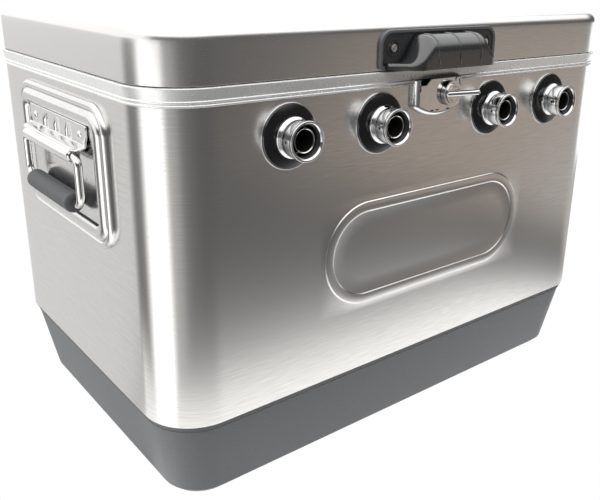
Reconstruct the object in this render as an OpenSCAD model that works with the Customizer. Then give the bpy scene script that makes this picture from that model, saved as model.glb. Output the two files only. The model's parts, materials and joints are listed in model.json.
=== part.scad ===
// Jockey box: a steel-clad insulated cooler with four tap shanks, a cold plate and its lines.
// Frame: origin on the floor under the middle of the body, +X to the right along the front,
// the front faces -Y, +Z is up. All sizes are in millimetres.

/* [Body] */
// Width of the steel shell
body_w = 600; // [520:1:720]
// Depth of the steel shell, front to back
body_d = 392; // [340:1:460]
// Height of the moulded base
base_h = 88; // [70:1:110]
// Height of the steel shell above the base
shell_h = 283; // [250:1:340]
// Thickness of the steel sheet
sheet_t = 0.8; // [0.5:0.1:1.5]
// Outside radius of the upright corners
corner_r = 51; // [35:1:70]
// Step from the shell in to the base
base_step = 3; // [1:0.5:6]
// How far the base draws in from its top to its bottom
base_draft = 15; // [4:1:25]
// Corner radius of the base's foot
base_foot_r = 39; // [25:1:60]
// Wall of the moulded base
base_wall = 3; // [2:0.5:5]

/* [Liner] */
// Thickness of the insulated side walls
side_wall_t = 38; // [30:1:60]
// Thickness of the insulated front and rear walls
front_wall_t = 36; // [30:1:50]
// Corner radius of the ice cavity
cavity_r = 30; // [15:1:50]
// Height of the cavity floor above the ground
floor_z = 52; // [40:1:70]
// Wall of the plastic liner
liner_t = 2.5; // [1.5:0.5:4]
// Height of the rim and of the steel band round it
rim_h = 15; // [8:0.5:16]
// How far the rim's steel band stands out of the shell
rim_proud = 1.5; // [0.5:0.5:3]
// Thickness of the rim's flat top and of its outer lip
rim_t = 3; // [2:0.5:5]

/* [Lid] */
// Gap between the rim and the lid
lid_gap = 1; // [0.6:0.1:2]
// Height of the steel lid
lid_h = 44; // [36:1:60]
// Radius of the lid's top edge
lid_roll = 10; // [5:1:16]
// Depth of the plug that enters the cavity
plug_h = 15; // [8:1:24]
// Clearance round the plug
plug_gap = 6; // [4:0.5:12]
// Width of the pull on the lid's front
pull_w = 159; // [120:1:200]
// Middle of the pull, from the body's middle
pull_x = 1.5; // [-10:0.5:10]
// Height of the pull
pull_h = 35; // [28:1:38]
// How far the pull stands out
pull_out = 28; // [18:1:36]
// Thickness of the pull's back plate
pull_plate_t = 3; // [2:0.5:5]

/* [Hinges] */
// Distance between the two hinges
hinge_pitch = 340; // [240:1:400]
// Width of one hinge
hinge_w = 66; // [40:1:90]
// Height of a hinge leaf
hinge_leaf_h = 40; // [26:1:40]
// Thickness of a hinge leaf
hinge_leaf_t = 2; // [1.5:0.5:3]
// Radius of the hinge pins
hinge_pin_r = 2.2; // [1.5:0.1:3]

/* [Front] */
// How far the fittings on the front sit to the right of the body's middle
front_off = 4; // [0:0.5:10]

/* [Taps] */
// Half the distance between the two inner taps
tap_in = 78; // [60:1:110]
// Half the distance between the two outer taps
tap_out = 181; // [150:1:210]
// From the shell's top edge down to the taps
tap_drop = 32; // [30:1:65]
// Radius of the black wall flange
flange_r = 28; // [24:0.5:30]
// Thickness of the black wall flange
flange_t = 8; // [6:0.5:10]
// Height of the flange's upright edge
flange_edge = 2.5; // [1.5:0.5:4]
// Radius of the shank's thread
shank_r = 11; // [9.5:0.1:12]
// Radius of the socket in the shank's mouth
socket_r = 9.5; // [7:0.1:10]
// Depth of that socket
socket_h = 20; // [12:1:24]
// How far the coupling nut stands out of the shell
nut_out = 27; // [24:0.5:34]
// Outside radius of the coupling nut
nut_r = 16.5; // [15.5:0.5:20]
// Length of the coupling nut
nut_h = 15; // [10:0.5:16]

/* [Inlets] */
// From the shell's top edge down to the rear inlets
inlet_drop = 71; // [55:1:125]
// Radius of the push-in bore for the supply tube
inlet_r = 4.05; // [3:0.05:5]

/* [Cold plate] */
// Thickness of the cold plate
plate_h = 28; // [20:1:40]
// From the outer fittings to the plate's side edges
plate_side = 19; // [12:1:24]
// From the fittings to the plate's front and rear edges
plate_edge = 21; // [12:1:24]

/* [Lines] */
// Outside radius of the beer lines
line_r = 4.75; // [4:0.05:6]
// Radius of the hose barbs
barb_r = 3.2; // [2.6:0.1:3.6]
// Straight length of a line before its bend
line_straight = 17; // [12:1:30]
// Bend radius of the lines
line_bend = 40; // [32:1:44]

/* [Side handles] */
// Offset of the handles towards the front
handle_off = 5; // [0:1:15]
// From the shell's top edge down to the handle plates' middle
handle_drop = 73; // [71:1:105]
// Width of the pressed handle plate
dish_w = 214; // [190:1:240]
// Height of the pressed handle plate
dish_h = 132; // [120:1:140]
// How far the pressed panel stands out of the shell
dish_out = 4; // [3:0.5:8]
// From the handle plate's middle up to the wire's axis
bail_up = 16; // [2:1:22]
// Radius of the handle wire
wire_r = 3.75; // [3:0.05:4.5]
// Distance between the two legs of the wire
bail_w = 137; // [120:1:150]
// Drop from the wire's axis to the grip's
bail_drop = 44.5; // [36:0.5:60]
// Radius of the rubber grip
grip_r = 9.5; // [8:0.1:11]
// Length of the rubber grip
grip_w = 104; // [80:1:106]
// Radius of the rolled barrel
barrel_r = 6.5; // [5.5:0.1:8]
// Width of the rolled barrel
barrel_w = 118; // [90:1:120]
// From the wire's axis up to the bracket plate's top edge
bracket_up = 28; // [22:1:36]
// Width of the bracket plate
bracket_w = 144; // [124:1:150]
// Thickness of the bracket plate
bracket_t = 1.5; // [1:0.1:2.5]

/* [Latch] */
// Width of the latch housing
latch_w = 65; // [56:1:74]
// Middle of the latch housing, from the body's middle
latch_x = -1; // [-10:0.5:10]
// Height of the latch housing
latch_h = 37; // [30:1:40]
// How far the housing covers the rim's steel band
latch_rise = 5.5; // [1:0.5:8]
// How far the housing stands out of the shell
latch_out = 7; // [5:0.5:10]
// Sheet thickness of the housing
latch_t = 1.2; // [0.8:0.1:2]
// Middle of the round hub, from the body's middle
hub_x = 11.5; // [6:0.5:16]
// From the shell's top edge down to the hub's axis
hub_drop = 10; // [8:0.5:15]
// Radius of the hub
hub_r = 12.2; // [9:0.1:14]
// Radius of the lever rod
lever_r = 2.75; // [2:0.05:3.5]
// Length of the lever rod
lever_l = 35; // [25:1:40]
// Angle between the lever rod and the wall
lever_tilt = 13; // [5:1:30]

/* [Drain] */
// From the cavity floor up to the drain's axis
drain_up = 12; // [11:0.5:20]
// Radius of the drain's bore
drain_r = 8; // [6:0.1:9]
// Outside radius of the drain's threaded tube
spout_r = 11; // [10.5:0.1:12]
// How far the spout stands out past the shell
spout_out = 12; // [9:1:16]

/* [Fits] */
// Clearance between a thread and the hole it passes through
hole_gap = 0.3; // [0.1:0.05:0.6]
// Radial clearance of a pin in its knuckle
pin_gap = 0.05; // [0.02:0.01:0.1]
// Free space between two pieces that move past each other
move_gap = 0.5; // [0.35:0.05:1]

/* [Hidden] */

// Facets of round features and of the children of a hull
$fn = 64;
hull_fn = 32;
// A cut runs this far past the face it opens
over = 1;

// Heights and walls
shell_top = base_h + shell_h;
rim_top = shell_top + rim_h;
lid_z0 = rim_top + lid_gap;
lid_top = lid_z0 + lid_h;
front_y = -body_d / 2;
rear_y = body_d / 2;
side_x = body_w / 2;
cavity_w = body_w - 2 * side_wall_t;
cavity_d = body_d - 2 * front_wall_t;
inner_front_y = -cavity_d / 2;
inner_rear_y = cavity_d / 2;
rim_w = body_w + 2 * rim_proud;
rim_d = body_d + 2 * rim_proud;
rim_r = corner_r + rim_proud;
// Thickness of the rim's outer lip
rim_lip = rim_t + 1;
// From the shell's face to the inside of the base
base_in = base_step + base_wall;
// Round lower edge of the base
base_roll = 6;
// Joint between two boards of the foam
foam_joint = 0.3;
// Upright tongue of the base inside the shell
tongue_h = 10;
tongue_drop = 2;

// Taps
tap_z = shell_top - tap_drop;
tap_xs = [for (x = [-tap_out, -tap_in, tap_in, tap_out]) front_off + x];
ring_r = flange_r + 1;
ring_t = 1.5;
collar_r = 18;
collar_t = 5.5;
// How deep the collar sits in the wall flange
collar_sink = 2.5;
nut_rear = nut_out - nut_h;
nut_lip_r = nut_r + 0.9;
nut_lip_h = 3.5;
nut_wall = 3;
nut_bore_r = nut_r - 2.2;
neck_face = nut_out - 4.5;
snap_r = nut_bore_r - 1.5;
snap_t = 1.2;
mouth_r = socket_r + 1.1;
seal_t = 2;
locknut_r = 18;
locknut_t = 8;
shank_tail = 25;
shank_bore_r = 3.2;
tail_nut_r = 14.5;
tail_nut_in = 8;
tail_nut_wall = 2;
tail_flange_t = 1.5;
tail_neck = 4;
tail_neck_r = barb_r + 1.8;
barb_hole_r = barb_r - 1;

// Where the lines run
shank_end_y = inner_front_y + shank_tail;
barb_y0 = shank_end_y + tail_flange_t + tail_neck;
line_push = 1;
barb_l = line_push + line_straight;
front_arc_y = barb_y0 + barb_l;
front_port_y = front_arc_y + line_bend;
fitting_hex_h = 8;
fitting_barb_h = 17;
fitting_hex_r = 8;

// Rear inlets
inlet_z = shell_top - inlet_drop;
inlet_flange_r = 14;
inlet_flange_t = 3;
inlet_body_r = 9;
inlet_head_r = 11;
inlet_head_h = 9;
inlet_nut_r = 14.5;
inlet_nut_t = 6;
inlet_depth = 16;
inlet_tail = 16;
inlet_barb_y0 = inner_rear_y - inlet_tail;
rear_arc_y = inlet_barb_y0 - barb_l;
rear_port_y = rear_arc_y - line_bend;

// Cold plate
plate_w = 2 * (tap_out + plate_side);
plate_d = rear_port_y - front_port_y + 2 * plate_edge;
plate_y = (front_port_y + rear_port_y) / 2;
plate_top = floor_z + plate_h;
plate_port_h = 12;
plate_corner_r = 8;
rib_r = 4;
rib_sink = 1;
rib_n = 5;
// From the fittings to the ends of the ribs
rib_clear = 17;
line_end_z = plate_top + fitting_hex_h + line_push;

// Hinges
hinge_xs = [-hinge_pitch / 2, hinge_pitch / 2];
knuckle_r = hinge_pin_r + 2.4;
hinge_axis_y = rear_y + rim_proud + knuckle_r + move_gap;
hinge_axis_z = rim_top + lid_gap / 2;
knuckle_mid_w = hinge_w * 0.4;
knuckle_gap = 0.4;
pin_head_r = knuckle_r - 0.6;
pin_head_t = 1.2;
rivet_r = 2;
rivet_head_r = 4;
rivet_head_t = 1.6;
leaf_rivet_drop = 28;
// The leaf steps out past the rim band between these two heights
leaf_bend_near = rim_h + 1;
leaf_bend_far = leaf_bend_near + 6;
leaf_rivet_pitch = hinge_w - 18;

// Side handles
handle_z = shell_top - handle_drop;
bail_z = handle_z + bail_up;
bracket_top_z = bail_z + bracket_up;
dish_r = 28;
dish_sheet = 1.2;
bead_1_r = 4;
bead_2_r = 7;
bead_2_in = 14;
bead_groove = 2.5;
dish_face_x = side_x + dish_out;
bracket_face_x = dish_face_x + bracket_t;
bail_x = dish_face_x + grip_r + move_gap;
bail_corner_r = 8;
bail_foot_r = 12;
stub_l = 26;
bracket_rivet_pitch = 114;
bracket_rivet_z = bracket_top_z - 10;
bracket_head_r = 4.4;
bracket_head_t = 2.4;
bracket_slot_w = 3;
bracket_slot_h = 14;
bracket_slot_pitch = 28;
bracket_slot_drop = 3;
// The plate starts to slope out this far above the barrel's top
bracket_knee = 4;
// The plate's sides end this far above the wire's axis
bracket_wing = 4;
knee_z = bail_z + barrel_r + bracket_knee;

// Latch
hub_z = shell_top - hub_drop;
latch_top = shell_top + latch_rise;
latch_bottom = latch_top - latch_h;
latch_face_y = front_y - latch_out;
latch_arc_r = latch_w * 0.9;
cutout_w = 22;
cutout_h = 6;
cutout_x = latch_x - latch_w / 2 + 16;
hub_shaft_r = 4;
hub_back = 0.5;
hub_h = 4.6;
hub_cap_h = 1.4;
wall_pocket_y = front_y + 16;
// From the housing's sides to the room behind the wall
pocket_in_left = 4.5;
pocket_in_right = 0.5;
pocket_x0 = latch_x - latch_w / 2 + pocket_in_left;
pocket_x1 = latch_x + latch_w / 2 - pocket_in_right;
pocket_z0 = latch_bottom + 4;
strike_w = 24;
strike_t = 2;
// From the cam's boss to the strike
strike_clear = 5;
cam_boss_r = hub_shaft_r + 4;
strike_x = hub_x - cam_boss_r - strike_clear - strike_w / 2;
strike_window_w = 8;
strike_window_h = 9;
strike_window_up = 4;
strike_y = front_y + 6.5;
strike_foot = 14;
strike_z0 = latch_bottom + 12;
slot_front_y = front_y + 2.5;
slot_rear_y = front_y + 10;
cam_t = 3;
cam_y = strike_y + strike_t / 2 + 1;
cam_tip_r = 4;
// The cam passes this far below the rim
cam_clear = 2;
cam_reach = rim_top - rim_t - cam_clear - hub_z;
latch_tab_h = 14;
latch_rivet_up = 9;
latch_rivet_in = 19;

// Lid pull
pull_z0 = lid_z0 + 1;
pull_r = 14;
pull_rim = 2;
pull_cover_w = pull_w - 12;
pull_top_w = pull_w * 0.47;
pull_front_w = pull_w * 0.57;
pull_wall = 3;
// Flat margins of the cover's ends, seen from the front and from above
pull_ledge = 5;
pull_ledge_out = 7;
pull_rib_r = 2;
pull_rib_out = 0.8;
pull_rib_pitch = 29;
pull_screw_x = pull_w / 2 - 16;
pull_screw_z = pull_z0 + 19;

// Lid inside
gasket_w = 8;
gasket_h = 3;
gasket_in = 9;
lid_floor_t = 2.5;

// Drain
drain_z = floor_z + drain_up;
spout_flange_r = 16;
spout_flange_t = 3;
drain_boss_r = 19;
drain_boss_l = 26;
spout_inner = 9;
drain_nut_r = 17;
drain_nut_t = 6;
cap_wall = 3;
cap_seal_t = 2;
cap_side_gap = 0.35;
cap_face_gap = 0.2;
spout_face_x = side_x - base_step + spout_flange_t;
spout_tip_x = side_x + spout_out;

steel = [0.66, 0.66, 0.66];
polished = [0.80, 0.80, 0.81];
black = [0.08, 0.08, 0.09];
charcoal = [0.20, 0.20, 0.21];
base_grey = [0.36, 0.36, 0.37];
white = [0.93, 0.93, 0.93];
foam_cream = [0.93, 0.88, 0.70];
rubber_grey = [0.32, 0.32, 0.33];
alu = [0.72, 0.73, 0.75];
hose_clear = [0.85, 0.87, 0.88];

// ---------------------------------------------------------------- shared shapes

// Rectangle with round corners, centred
module rounded_rect(w, d, r) {
    square([w - 2 * r, d], center = true);
    square([w, d - 2 * r], center = true);
    for (sx = [-1, 1], sy = [-1, 1])
        translate([sx * (w / 2 - r), sy * (d / 2 - r)]) circle(r = r);
}

module rounded_plate(w, d, r, z0, z1) {
    translate([0, 0, z0]) linear_extrude(z1 - z0) rounded_rect(w, d, r);
}

// Carries a profile round a rectangle with round corners, centred. The profile's first
// coordinate is measured outwards from the corner's centre, its second is the height.
module around_rect(w, d, r) {
    for (i = [0:3]) {
        a = i % 2 == 0 ? w : d;
        b = i % 2 == 0 ? d : w;
        rotate([0, 0, 90 * i]) {
            translate([a / 2 - r, b / 2 - r, 0]) rotate_extrude(angle = 90) children();
            translate([a / 2 - r, 0, 0]) rotate([90, 0, 0])
                linear_extrude(b - 2 * r, center = true) children();
        }
    }
}

// Slab with round corners whose top edge is rolled over
module rolled_slab(w, d, r, z0, z1, roll) {
    translate([0, 0, z0]) {
        around_rect(w, d, r) {
            square([r - roll, z1 - z0]);
            square([r, z1 - z0 - roll]);
            translate([r - roll, z1 - z0 - roll]) intersection() {
                circle(r = roll);
                square(roll);
            }
        }
        translate([-w / 2 + r, -d / 2 + r, 0]) cube([w - 2 * r, d - 2 * r, z1 - z0]);
    }
}

// Cylinder along Y from y0 to y1
module y_rod(x, z, r, y0, y1) {
    translate([x, y1, z]) rotate([90, 0, 0]) cylinder(r = r, h = y1 - y0);
}

// Cylinder along X from x0 to x1
module x_rod(y, z, r, x0, x1) {
    translate([x0, y, z]) rotate([0, 90, 0]) cylinder(r = r, h = x1 - x0);
}

// Half section of a domed disc of radius r and height h whose edge is upright for edge
module dome_section(r, h, edge) {
    rise = h - edge;
    dome_r = (r * r + rise * rise) / (2 * rise);
    intersection() {
        translate([0, h - dome_r]) circle(r = dome_r, $fn = 512);
        square([r, h]);
    }
}

// Hexagonal prism along Y
module y_hex(x, z, r, y0, y1) {
    translate([x, y1, z]) rotate([90, 0, 0]) cylinder(r = r, h = y1 - y0, $fn = 6);
}

// ---------------------------------------------------------------- casing

// Outside of the base, drawn in by inset all round
module base_form(inset, z0, z1) {
    top_w = body_w - 2 * base_step - 2 * inset;
    top_d = body_d - 2 * base_step - 2 * inset;
    foot_w = top_w - 2 * base_draft;
    foot_d = top_d - 2 * base_draft;
    hull($fn = hull_fn) {
        translate([0, 0, z1 - 1]) linear_extrude(1)
            rounded_rect(top_w, top_d, corner_r - base_step - inset, $fn = hull_fn);
        translate([0, 0, z0 + base_roll]) linear_extrude(1)
            rounded_rect(foot_w, foot_d, base_foot_r - inset, $fn = hull_fn);
        translate([0, 0, z0]) linear_extrude(1)
            rounded_rect(foot_w - 2 * base_roll, foot_d - 2 * base_roll,
                base_foot_r - inset - base_roll, $fn = hull_fn);
    }
}

module drain_hole(r) {
    x_rod(0, drain_z, r, cavity_w / 2 - over, side_x);
}

module base_pan() {
    color(base_grey) difference() {
        union() {
            difference() {
                union() {
                    base_form(0, 0, base_h - tongue_drop);
                    rounded_plate(body_w - 2 * sheet_t, body_d - 2 * sheet_t, corner_r - sheet_t,
                        base_h - tongue_drop, base_h + tongue_h);
                }
                base_form(base_wall, base_wall, base_h - tongue_drop);
                rounded_plate(body_w - 2 * base_in, body_d - 2 * base_in, corner_r - base_in,
                    base_h - tongue_drop - over, base_h + tongue_h + over);
            }
            x_rod(0, drain_z, drain_boss_r, side_x - drain_boss_l, side_x - base_step);
        }
        drain_hole(spout_r + hole_gap);
    }
}

module tap_holes(r) {
    for (x = tap_xs) y_rod(x, tap_z, r, front_y - over, inner_front_y + over);
}

module inlet_holes(r) {
    for (x = tap_xs) y_rod(x, inlet_z, r, inner_rear_y - over, rear_y + over);
}

module outer_shell() {
    color(steel) difference() {
        rounded_plate(body_w, body_d, corner_r, base_h, shell_top);
        rounded_plate(body_w - 2 * sheet_t, body_d - 2 * sheet_t, corner_r - sheet_t,
            base_h - over, shell_top + over);
        for (x = tap_xs) y_rod(x, tap_z, shank_r + hole_gap, front_y - over, front_y + 5);
        for (x = tap_xs) y_rod(x, inlet_z, inlet_body_r + hole_gap, rear_y - 5, rear_y + over);
        y_rod(hub_x, hub_z, hub_shaft_r + move_gap, front_y - over, front_y + 5);
        translate([cutout_x - cutout_w / 2, front_y - over, shell_top - 16])
            cube([cutout_w, 5, 12]);
        hinge_rivet_holes(-1);
        latch_rivet_holes();
    }
}

// Room in the front wall where the strike and the cam move
module wall_pocket() {
    translate([pocket_x0, front_y, pocket_z0])
        cube([pocket_x1 - pocket_x0, wall_pocket_y - front_y, rim_top - rim_t - pocket_z0 + over]);
}

module insulation_foam() {
    color(foam_cream) difference() {
        union() {
            base_form(base_wall, base_wall, base_h - tongue_drop);
            rounded_plate(body_w - 2 * base_in, body_d - 2 * base_in, corner_r - base_in,
                base_h - tongue_drop, base_h + tongue_h);
            rounded_plate(body_w - 2 * sheet_t, body_d - 2 * sheet_t, corner_r - sheet_t,
                base_h + tongue_h, shell_top);
            rounded_plate(rim_w - 2 * rim_lip, rim_d - 2 * rim_lip, rim_r - rim_lip,
                shell_top, rim_top - rim_t);
        }
        rounded_plate(cavity_w + 2 * liner_t, cavity_d + 2 * liner_t, cavity_r + liner_t,
            floor_z - liner_t, rim_top);
        x_rod(0, drain_z, drain_boss_r, side_x - drain_boss_l, side_x);
        tap_holes(shank_r + hole_gap);
        inlet_holes(inlet_body_r + hole_gap);
        drain_hole(spout_r + hole_gap);
        wall_pocket();
        foam_joints();
    }
}

// Joints of the foam boards: one under the liner's floor, the others where its corners start
// and across those corners
module foam_joints() {
    joint_x = cavity_w / 2 - cavity_r;
    joint_y = cavity_d / 2 - cavity_r;
    translate([-body_w, -body_d, floor_z - liner_t - foam_joint])
        cube([2 * body_w, 2 * body_d, foam_joint]);
    translate([0, 0, floor_z - liner_t - over]) linear_extrude(rim_top) {
        for (sx = [-1, 1]) translate([sx * joint_x, 0]) square([foam_joint, 2 * body_d], center = true);
        for (sy = [-1, 1]) translate([0, sy * joint_y]) square([2 * body_w, foam_joint], center = true);
        for (sx = [-1, 1], sy = [-1, 1]) mirror([sx < 0 ? 1 : 0, 0]) mirror([0, sy < 0 ? 1 : 0])
            translate([joint_x, joint_y]) rotate(45)
                translate([0, -foam_joint / 2]) square([body_d, foam_joint]);
    }
}

module inner_liner() {
    color(white) difference() {
        union() {
            rounded_plate(rim_w - 2 * sheet_t, rim_d - 2 * sheet_t, rim_r - sheet_t, shell_top, rim_top);
            rounded_plate(cavity_w + 2 * liner_t, cavity_d + 2 * liner_t, cavity_r + liner_t,
                floor_z - liner_t, rim_top);
        }
        difference() {
            rounded_plate(rim_w - 2 * rim_lip, rim_d - 2 * rim_lip, rim_r - rim_lip,
                shell_top - over, rim_top - rim_t);
            rounded_plate(cavity_w + 2 * liner_t, cavity_d + 2 * liner_t, cavity_r + liner_t,
                floor_z - over, rim_top);
        }
        rounded_plate(cavity_w, cavity_d, cavity_r, floor_z, rim_top + over);
        tap_holes(shank_r + hole_gap);
        inlet_holes(inlet_body_r + hole_gap);
        drain_hole(spout_r + hole_gap);
        translate([strike_x - strike_w / 2 - 2, slot_front_y, shell_top - over])
            cube([strike_w + 4, slot_rear_y - slot_front_y, rim_h + 2 * over]);
    }
}

// Steel band round the liner's rim
module rim_trim() {
    color(polished) difference() {
        rounded_plate(rim_w, rim_d, rim_r, shell_top, rim_top);
        rounded_plate(rim_w - 2 * sheet_t, rim_d - 2 * sheet_t, rim_r - sheet_t,
            shell_top - over, rim_top + over);
    }
}

// ---------------------------------------------------------------- side handles

// side is -1 on the left and 1 on the right; everything is drawn on the right and mirrored
module on_side(side) {
    if (side > 0) translate([0, -handle_off, 0]) children();
    else mirror([1, 0, 0]) translate([0, -handle_off, 0]) children();
}

// Section of the pressed edge: an outer bead, a groove and a wider inner bead
module dish_edge() {
    intersection() {
        union() {
            translate([dish_r - bead_1_r, 0]) circle(r = bead_1_r);
            translate([dish_r - bead_2_in, 0]) circle(r = bead_2_r);
            square([dish_r - bead_1_r, bead_groove]);
        }
        square([dish_r, 2 * bead_2_r]);
    }
}

module handle_dish(side) {
    on_side(side) color(polished) difference() {
        translate([side_x, 0, handle_z]) rotate([0, 90, 0]) {
            around_rect(dish_h, dish_w, dish_r) difference() {
                union() {
                    dish_edge();
                    square([dish_r - bead_2_in, dish_out]);
                }
                translate([-over, -over]) square([dish_r - bead_2_in - bead_2_r + over,
                    dish_out - dish_sheet + over]);
            }
            translate([-dish_h / 2 + dish_r, -dish_w / 2 + dish_r, dish_out - dish_sheet])
                cube([dish_h - 2 * dish_r, dish_w - 2 * dish_r, dish_sheet]);
        }
        bracket_rivet_points() x_rod(0, 0, rivet_r, side_x, side_x + 20);
    }
}

module bracket_rivet_points() {
    for (s = [-1, 1]) translate([0, s * bracket_rivet_pitch / 2, bracket_rivet_z]) children();
}

// Section of the bracket: the flat plate, the slope and the web that carries the barrel
module bracket_section() {
    polygon([
        [dish_face_x, bracket_top_z],
        [bracket_face_x, bracket_top_z],
        [bracket_face_x, knee_z],
        [bail_x - 1, bail_z + barrel_r],
        [bail_x, bail_z + wire_r + 1],
        [bail_x - barrel_r + 0.3, bail_z],
        [dish_face_x, bail_z + 4]
    ]);
}

module handle_bracket(side) {
    on_side(side) color(polished) difference() {
        union() {
            translate([0, barrel_w / 2, 0]) rotate([90, 0, 0])
                linear_extrude(barrel_w) bracket_section();
            translate([0, bracket_w / 2, 0]) rotate([90, 0, 0]) linear_extrude(bracket_w)
                translate([dish_face_x, bail_z + bracket_wing])
                    square([bracket_t, bracket_top_z - bail_z - bracket_wing]);
            translate([bail_x, barrel_w / 2, bail_z]) rotate([90, 0, 0])
                cylinder(r = barrel_r, h = barrel_w);
        }
        translate([bail_x, barrel_w / 2 + over, bail_z]) rotate([90, 0, 0])
            cylinder(r = wire_r + pin_gap, h = barrel_w + 2 * over);
        bracket_rivet_points() x_rod(0, 0, rivet_r, side_x, side_x + 20);
        for (i = [-1, 0, 1])
            translate([dish_face_x - over, i * bracket_slot_pitch - bracket_slot_w / 2,
                    bracket_rivet_z - bracket_slot_h / 2 - bracket_slot_drop])
                cube([bracket_t + 2 * over, bracket_slot_w, bracket_slot_h]);
    }
}

module handle_rivets() {
    color(polished) for (side = [-1, 1]) on_side(side) bracket_rivet_points() {
        x_rod(0, 0, rivet_r, dish_face_x - dish_sheet, bracket_face_x + bracket_head_t / 2);
        translate([bracket_face_x, 0, 0]) rotate([0, 90, 0]) rotate_extrude()
            dome_section(bracket_head_r, bracket_head_t, 0);
    }
}

// Quarter bend of the wire in the plane x = 0, from the +Y leg to the -Z leg
module wire_bend(bend_r) {
    rotate([0, 90, 0]) rotate_extrude(angle = 90) translate([bend_r, 0]) circle(r = wire_r);
}

module bail(side) {
    foot_z = bail_z - bail_drop;
    leg_z0 = foot_z + bail_foot_r;
    leg_z1 = bail_z - bail_corner_r;
    on_side(side) color(polished) translate([bail_x, 0, 0]) {
        for (s = [-1, 1]) mirror([0, s > 0 ? 0 : 1, 0]) {
            translate([0, bail_w / 2, leg_z0]) cylinder(r = wire_r, h = leg_z1 - leg_z0);
            translate([0, bail_w / 2 - bail_corner_r, leg_z1]) rotate([90, 0, 0]) wire_bend(bail_corner_r);
            translate([0, bail_w / 2 - bail_foot_r, leg_z0]) wire_bend(bail_foot_r);
            translate([0, bail_w / 2 - bail_corner_r, bail_z]) rotate([90, 0, 0])
                cylinder(r = wire_r, h = stub_l);
        }
        translate([0, bail_w / 2 - bail_foot_r, foot_z]) rotate([90, 0, 0])
            cylinder(r = wire_r, h = bail_w - 2 * bail_foot_r);
    }
}

module grip(side) {
    groove_pitch = 5.2;
    groove_n = floor((grip_w - 12) / groove_pitch / 2);
    on_side(side) color(rubber_grey) translate([bail_x, 0, bail_z - bail_drop]) rotate([90, 0, 0])
        difference() {
            cylinder(r = grip_r, h = grip_w, center = true);
            cylinder(r = wire_r, h = grip_w + 2 * over, center = true);
            for (i = [-groove_n:groove_n]) translate([0, 0, i * groove_pitch])
                rotate_extrude() translate([grip_r, 0]) circle(r = 0.6, $fn = 12);
        }
}

// ---------------------------------------------------------------- taps

// Domed wall flange, recessed for the shank's collar
module tap_flange(i) {
    color(black) translate([tap_xs[i], front_y, tap_z]) rotate([90, 0, 0]) rotate_extrude()
        difference() {
            dome_section(flange_r, flange_t, flange_edge);
            translate([0, -over]) square([shank_r + hole_gap, flange_t + 2 * over]);
            translate([0, flange_t - collar_sink]) square([collar_r + hole_gap, flange_t]);
        }
}

module flange_rings() {
    color(polished) for (x = tap_xs) difference() {
        y_rod(x, tap_z, ring_r, front_y - ring_t, front_y);
        y_rod(x, tap_z, flange_r, front_y - ring_t - over, front_y + over);
    }
}

module shank(i) {
    x = tap_xs[i];
    seat_y = front_y - flange_t + collar_sink;
    face_y = front_y - neck_face;
    snap_y = front_y - nut_rear - nut_wall - move_gap;
    color(polished) difference() {
        union() {
            y_rod(x, tap_z, shank_r, snap_y, shank_end_y);
            translate([x, seat_y, tap_z]) rotate([90, 0, 0])
                cylinder(r1 = collar_r, r2 = nut_r - 1, h = collar_t);
            y_rod(x, tap_z, snap_r, snap_y - snap_t, snap_y);
            y_rod(x, tap_z, mouth_r, face_y, snap_y);
        }
        y_rod(x, tap_z, socket_r, face_y - over, face_y + socket_h);
        y_rod(x, tap_z, shank_bore_r, face_y, shank_end_y + over);
    }
}

module coupling_nut(i) {
    x = tap_xs[i];
    y0 = front_y - nut_out;
    y1 = front_y - nut_rear;
    color(polished) difference() {
        union() {
            y_rod(x, tap_z, nut_r, y0, y1);
            y_rod(x, tap_z, nut_lip_r, y0, y0 + nut_lip_h);
        }
        y_rod(x, tap_z, nut_bore_r, y0 - over, y1 - nut_wall);
        y_rod(x, tap_z, shank_r + move_gap, y0, y1 + over);
        translate([x, y0 + 2, tap_z]) rotate([90, 0, 0])
            cylinder(r1 = nut_bore_r, r2 = nut_bore_r + 3, h = 3);
        for (a = [0:90:270]) translate([x, (y0 + y1) / 2 + 1, tap_z]) rotate([0, a + 180, 0])
            cylinder(r = 1.5, h = nut_r + over);
    }
}

module shank_seals() {
    color(black) for (x = tap_xs) difference() {
        y_rod(x, tap_z, locknut_r, inner_front_y, inner_front_y + seal_t);
        y_rod(x, tap_z, shank_r, inner_front_y - over, inner_front_y + seal_t + over);
    }
}

module shank_locknuts() {
    y0 = inner_front_y + seal_t;
    color(polished) for (x = tap_xs) difference() {
        y_hex(x, tap_z, locknut_r, y0, y0 + locknut_t);
        y_rod(x, tap_z, shank_r, y0 - over, y0 + locknut_t + over);
    }
}

module tail_pieces() {
    flange_y1 = shank_end_y + tail_flange_t;
    color(polished) for (x = tap_xs) difference() {
        union() {
            y_rod(x, tap_z, shank_r - 1.5, shank_end_y, flange_y1);
            y_rod(x, tap_z, tail_neck_r, flange_y1 - 0.5, barb_y0);
            y_rod(x, tap_z, barb_r, barb_y0 - 0.5, barb_y0 + barb_l);
        }
        y_rod(x, tap_z, barb_hole_r, shank_end_y - over, barb_y0 + barb_l + over);
    }
}

module tail_nuts() {
    y0 = shank_end_y - tail_nut_in;
    y1 = shank_end_y + tail_flange_t + tail_nut_wall;
    color(polished) for (x = tap_xs) difference() {
        y_hex(x, tap_z, tail_nut_r, y0, y1);
        y_rod(x, tap_z, shank_r, y0 - over, y1 - tail_nut_wall);
        y_rod(x, tap_z, tail_neck_r, y0, y1 + over);
    }
}

// ---------------------------------------------------------------- lines and cold plate

// Tube section shared by every line
module line_section() {
    difference() {
        circle(r = line_r);
        circle(r = barb_r);
    }
}

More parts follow.
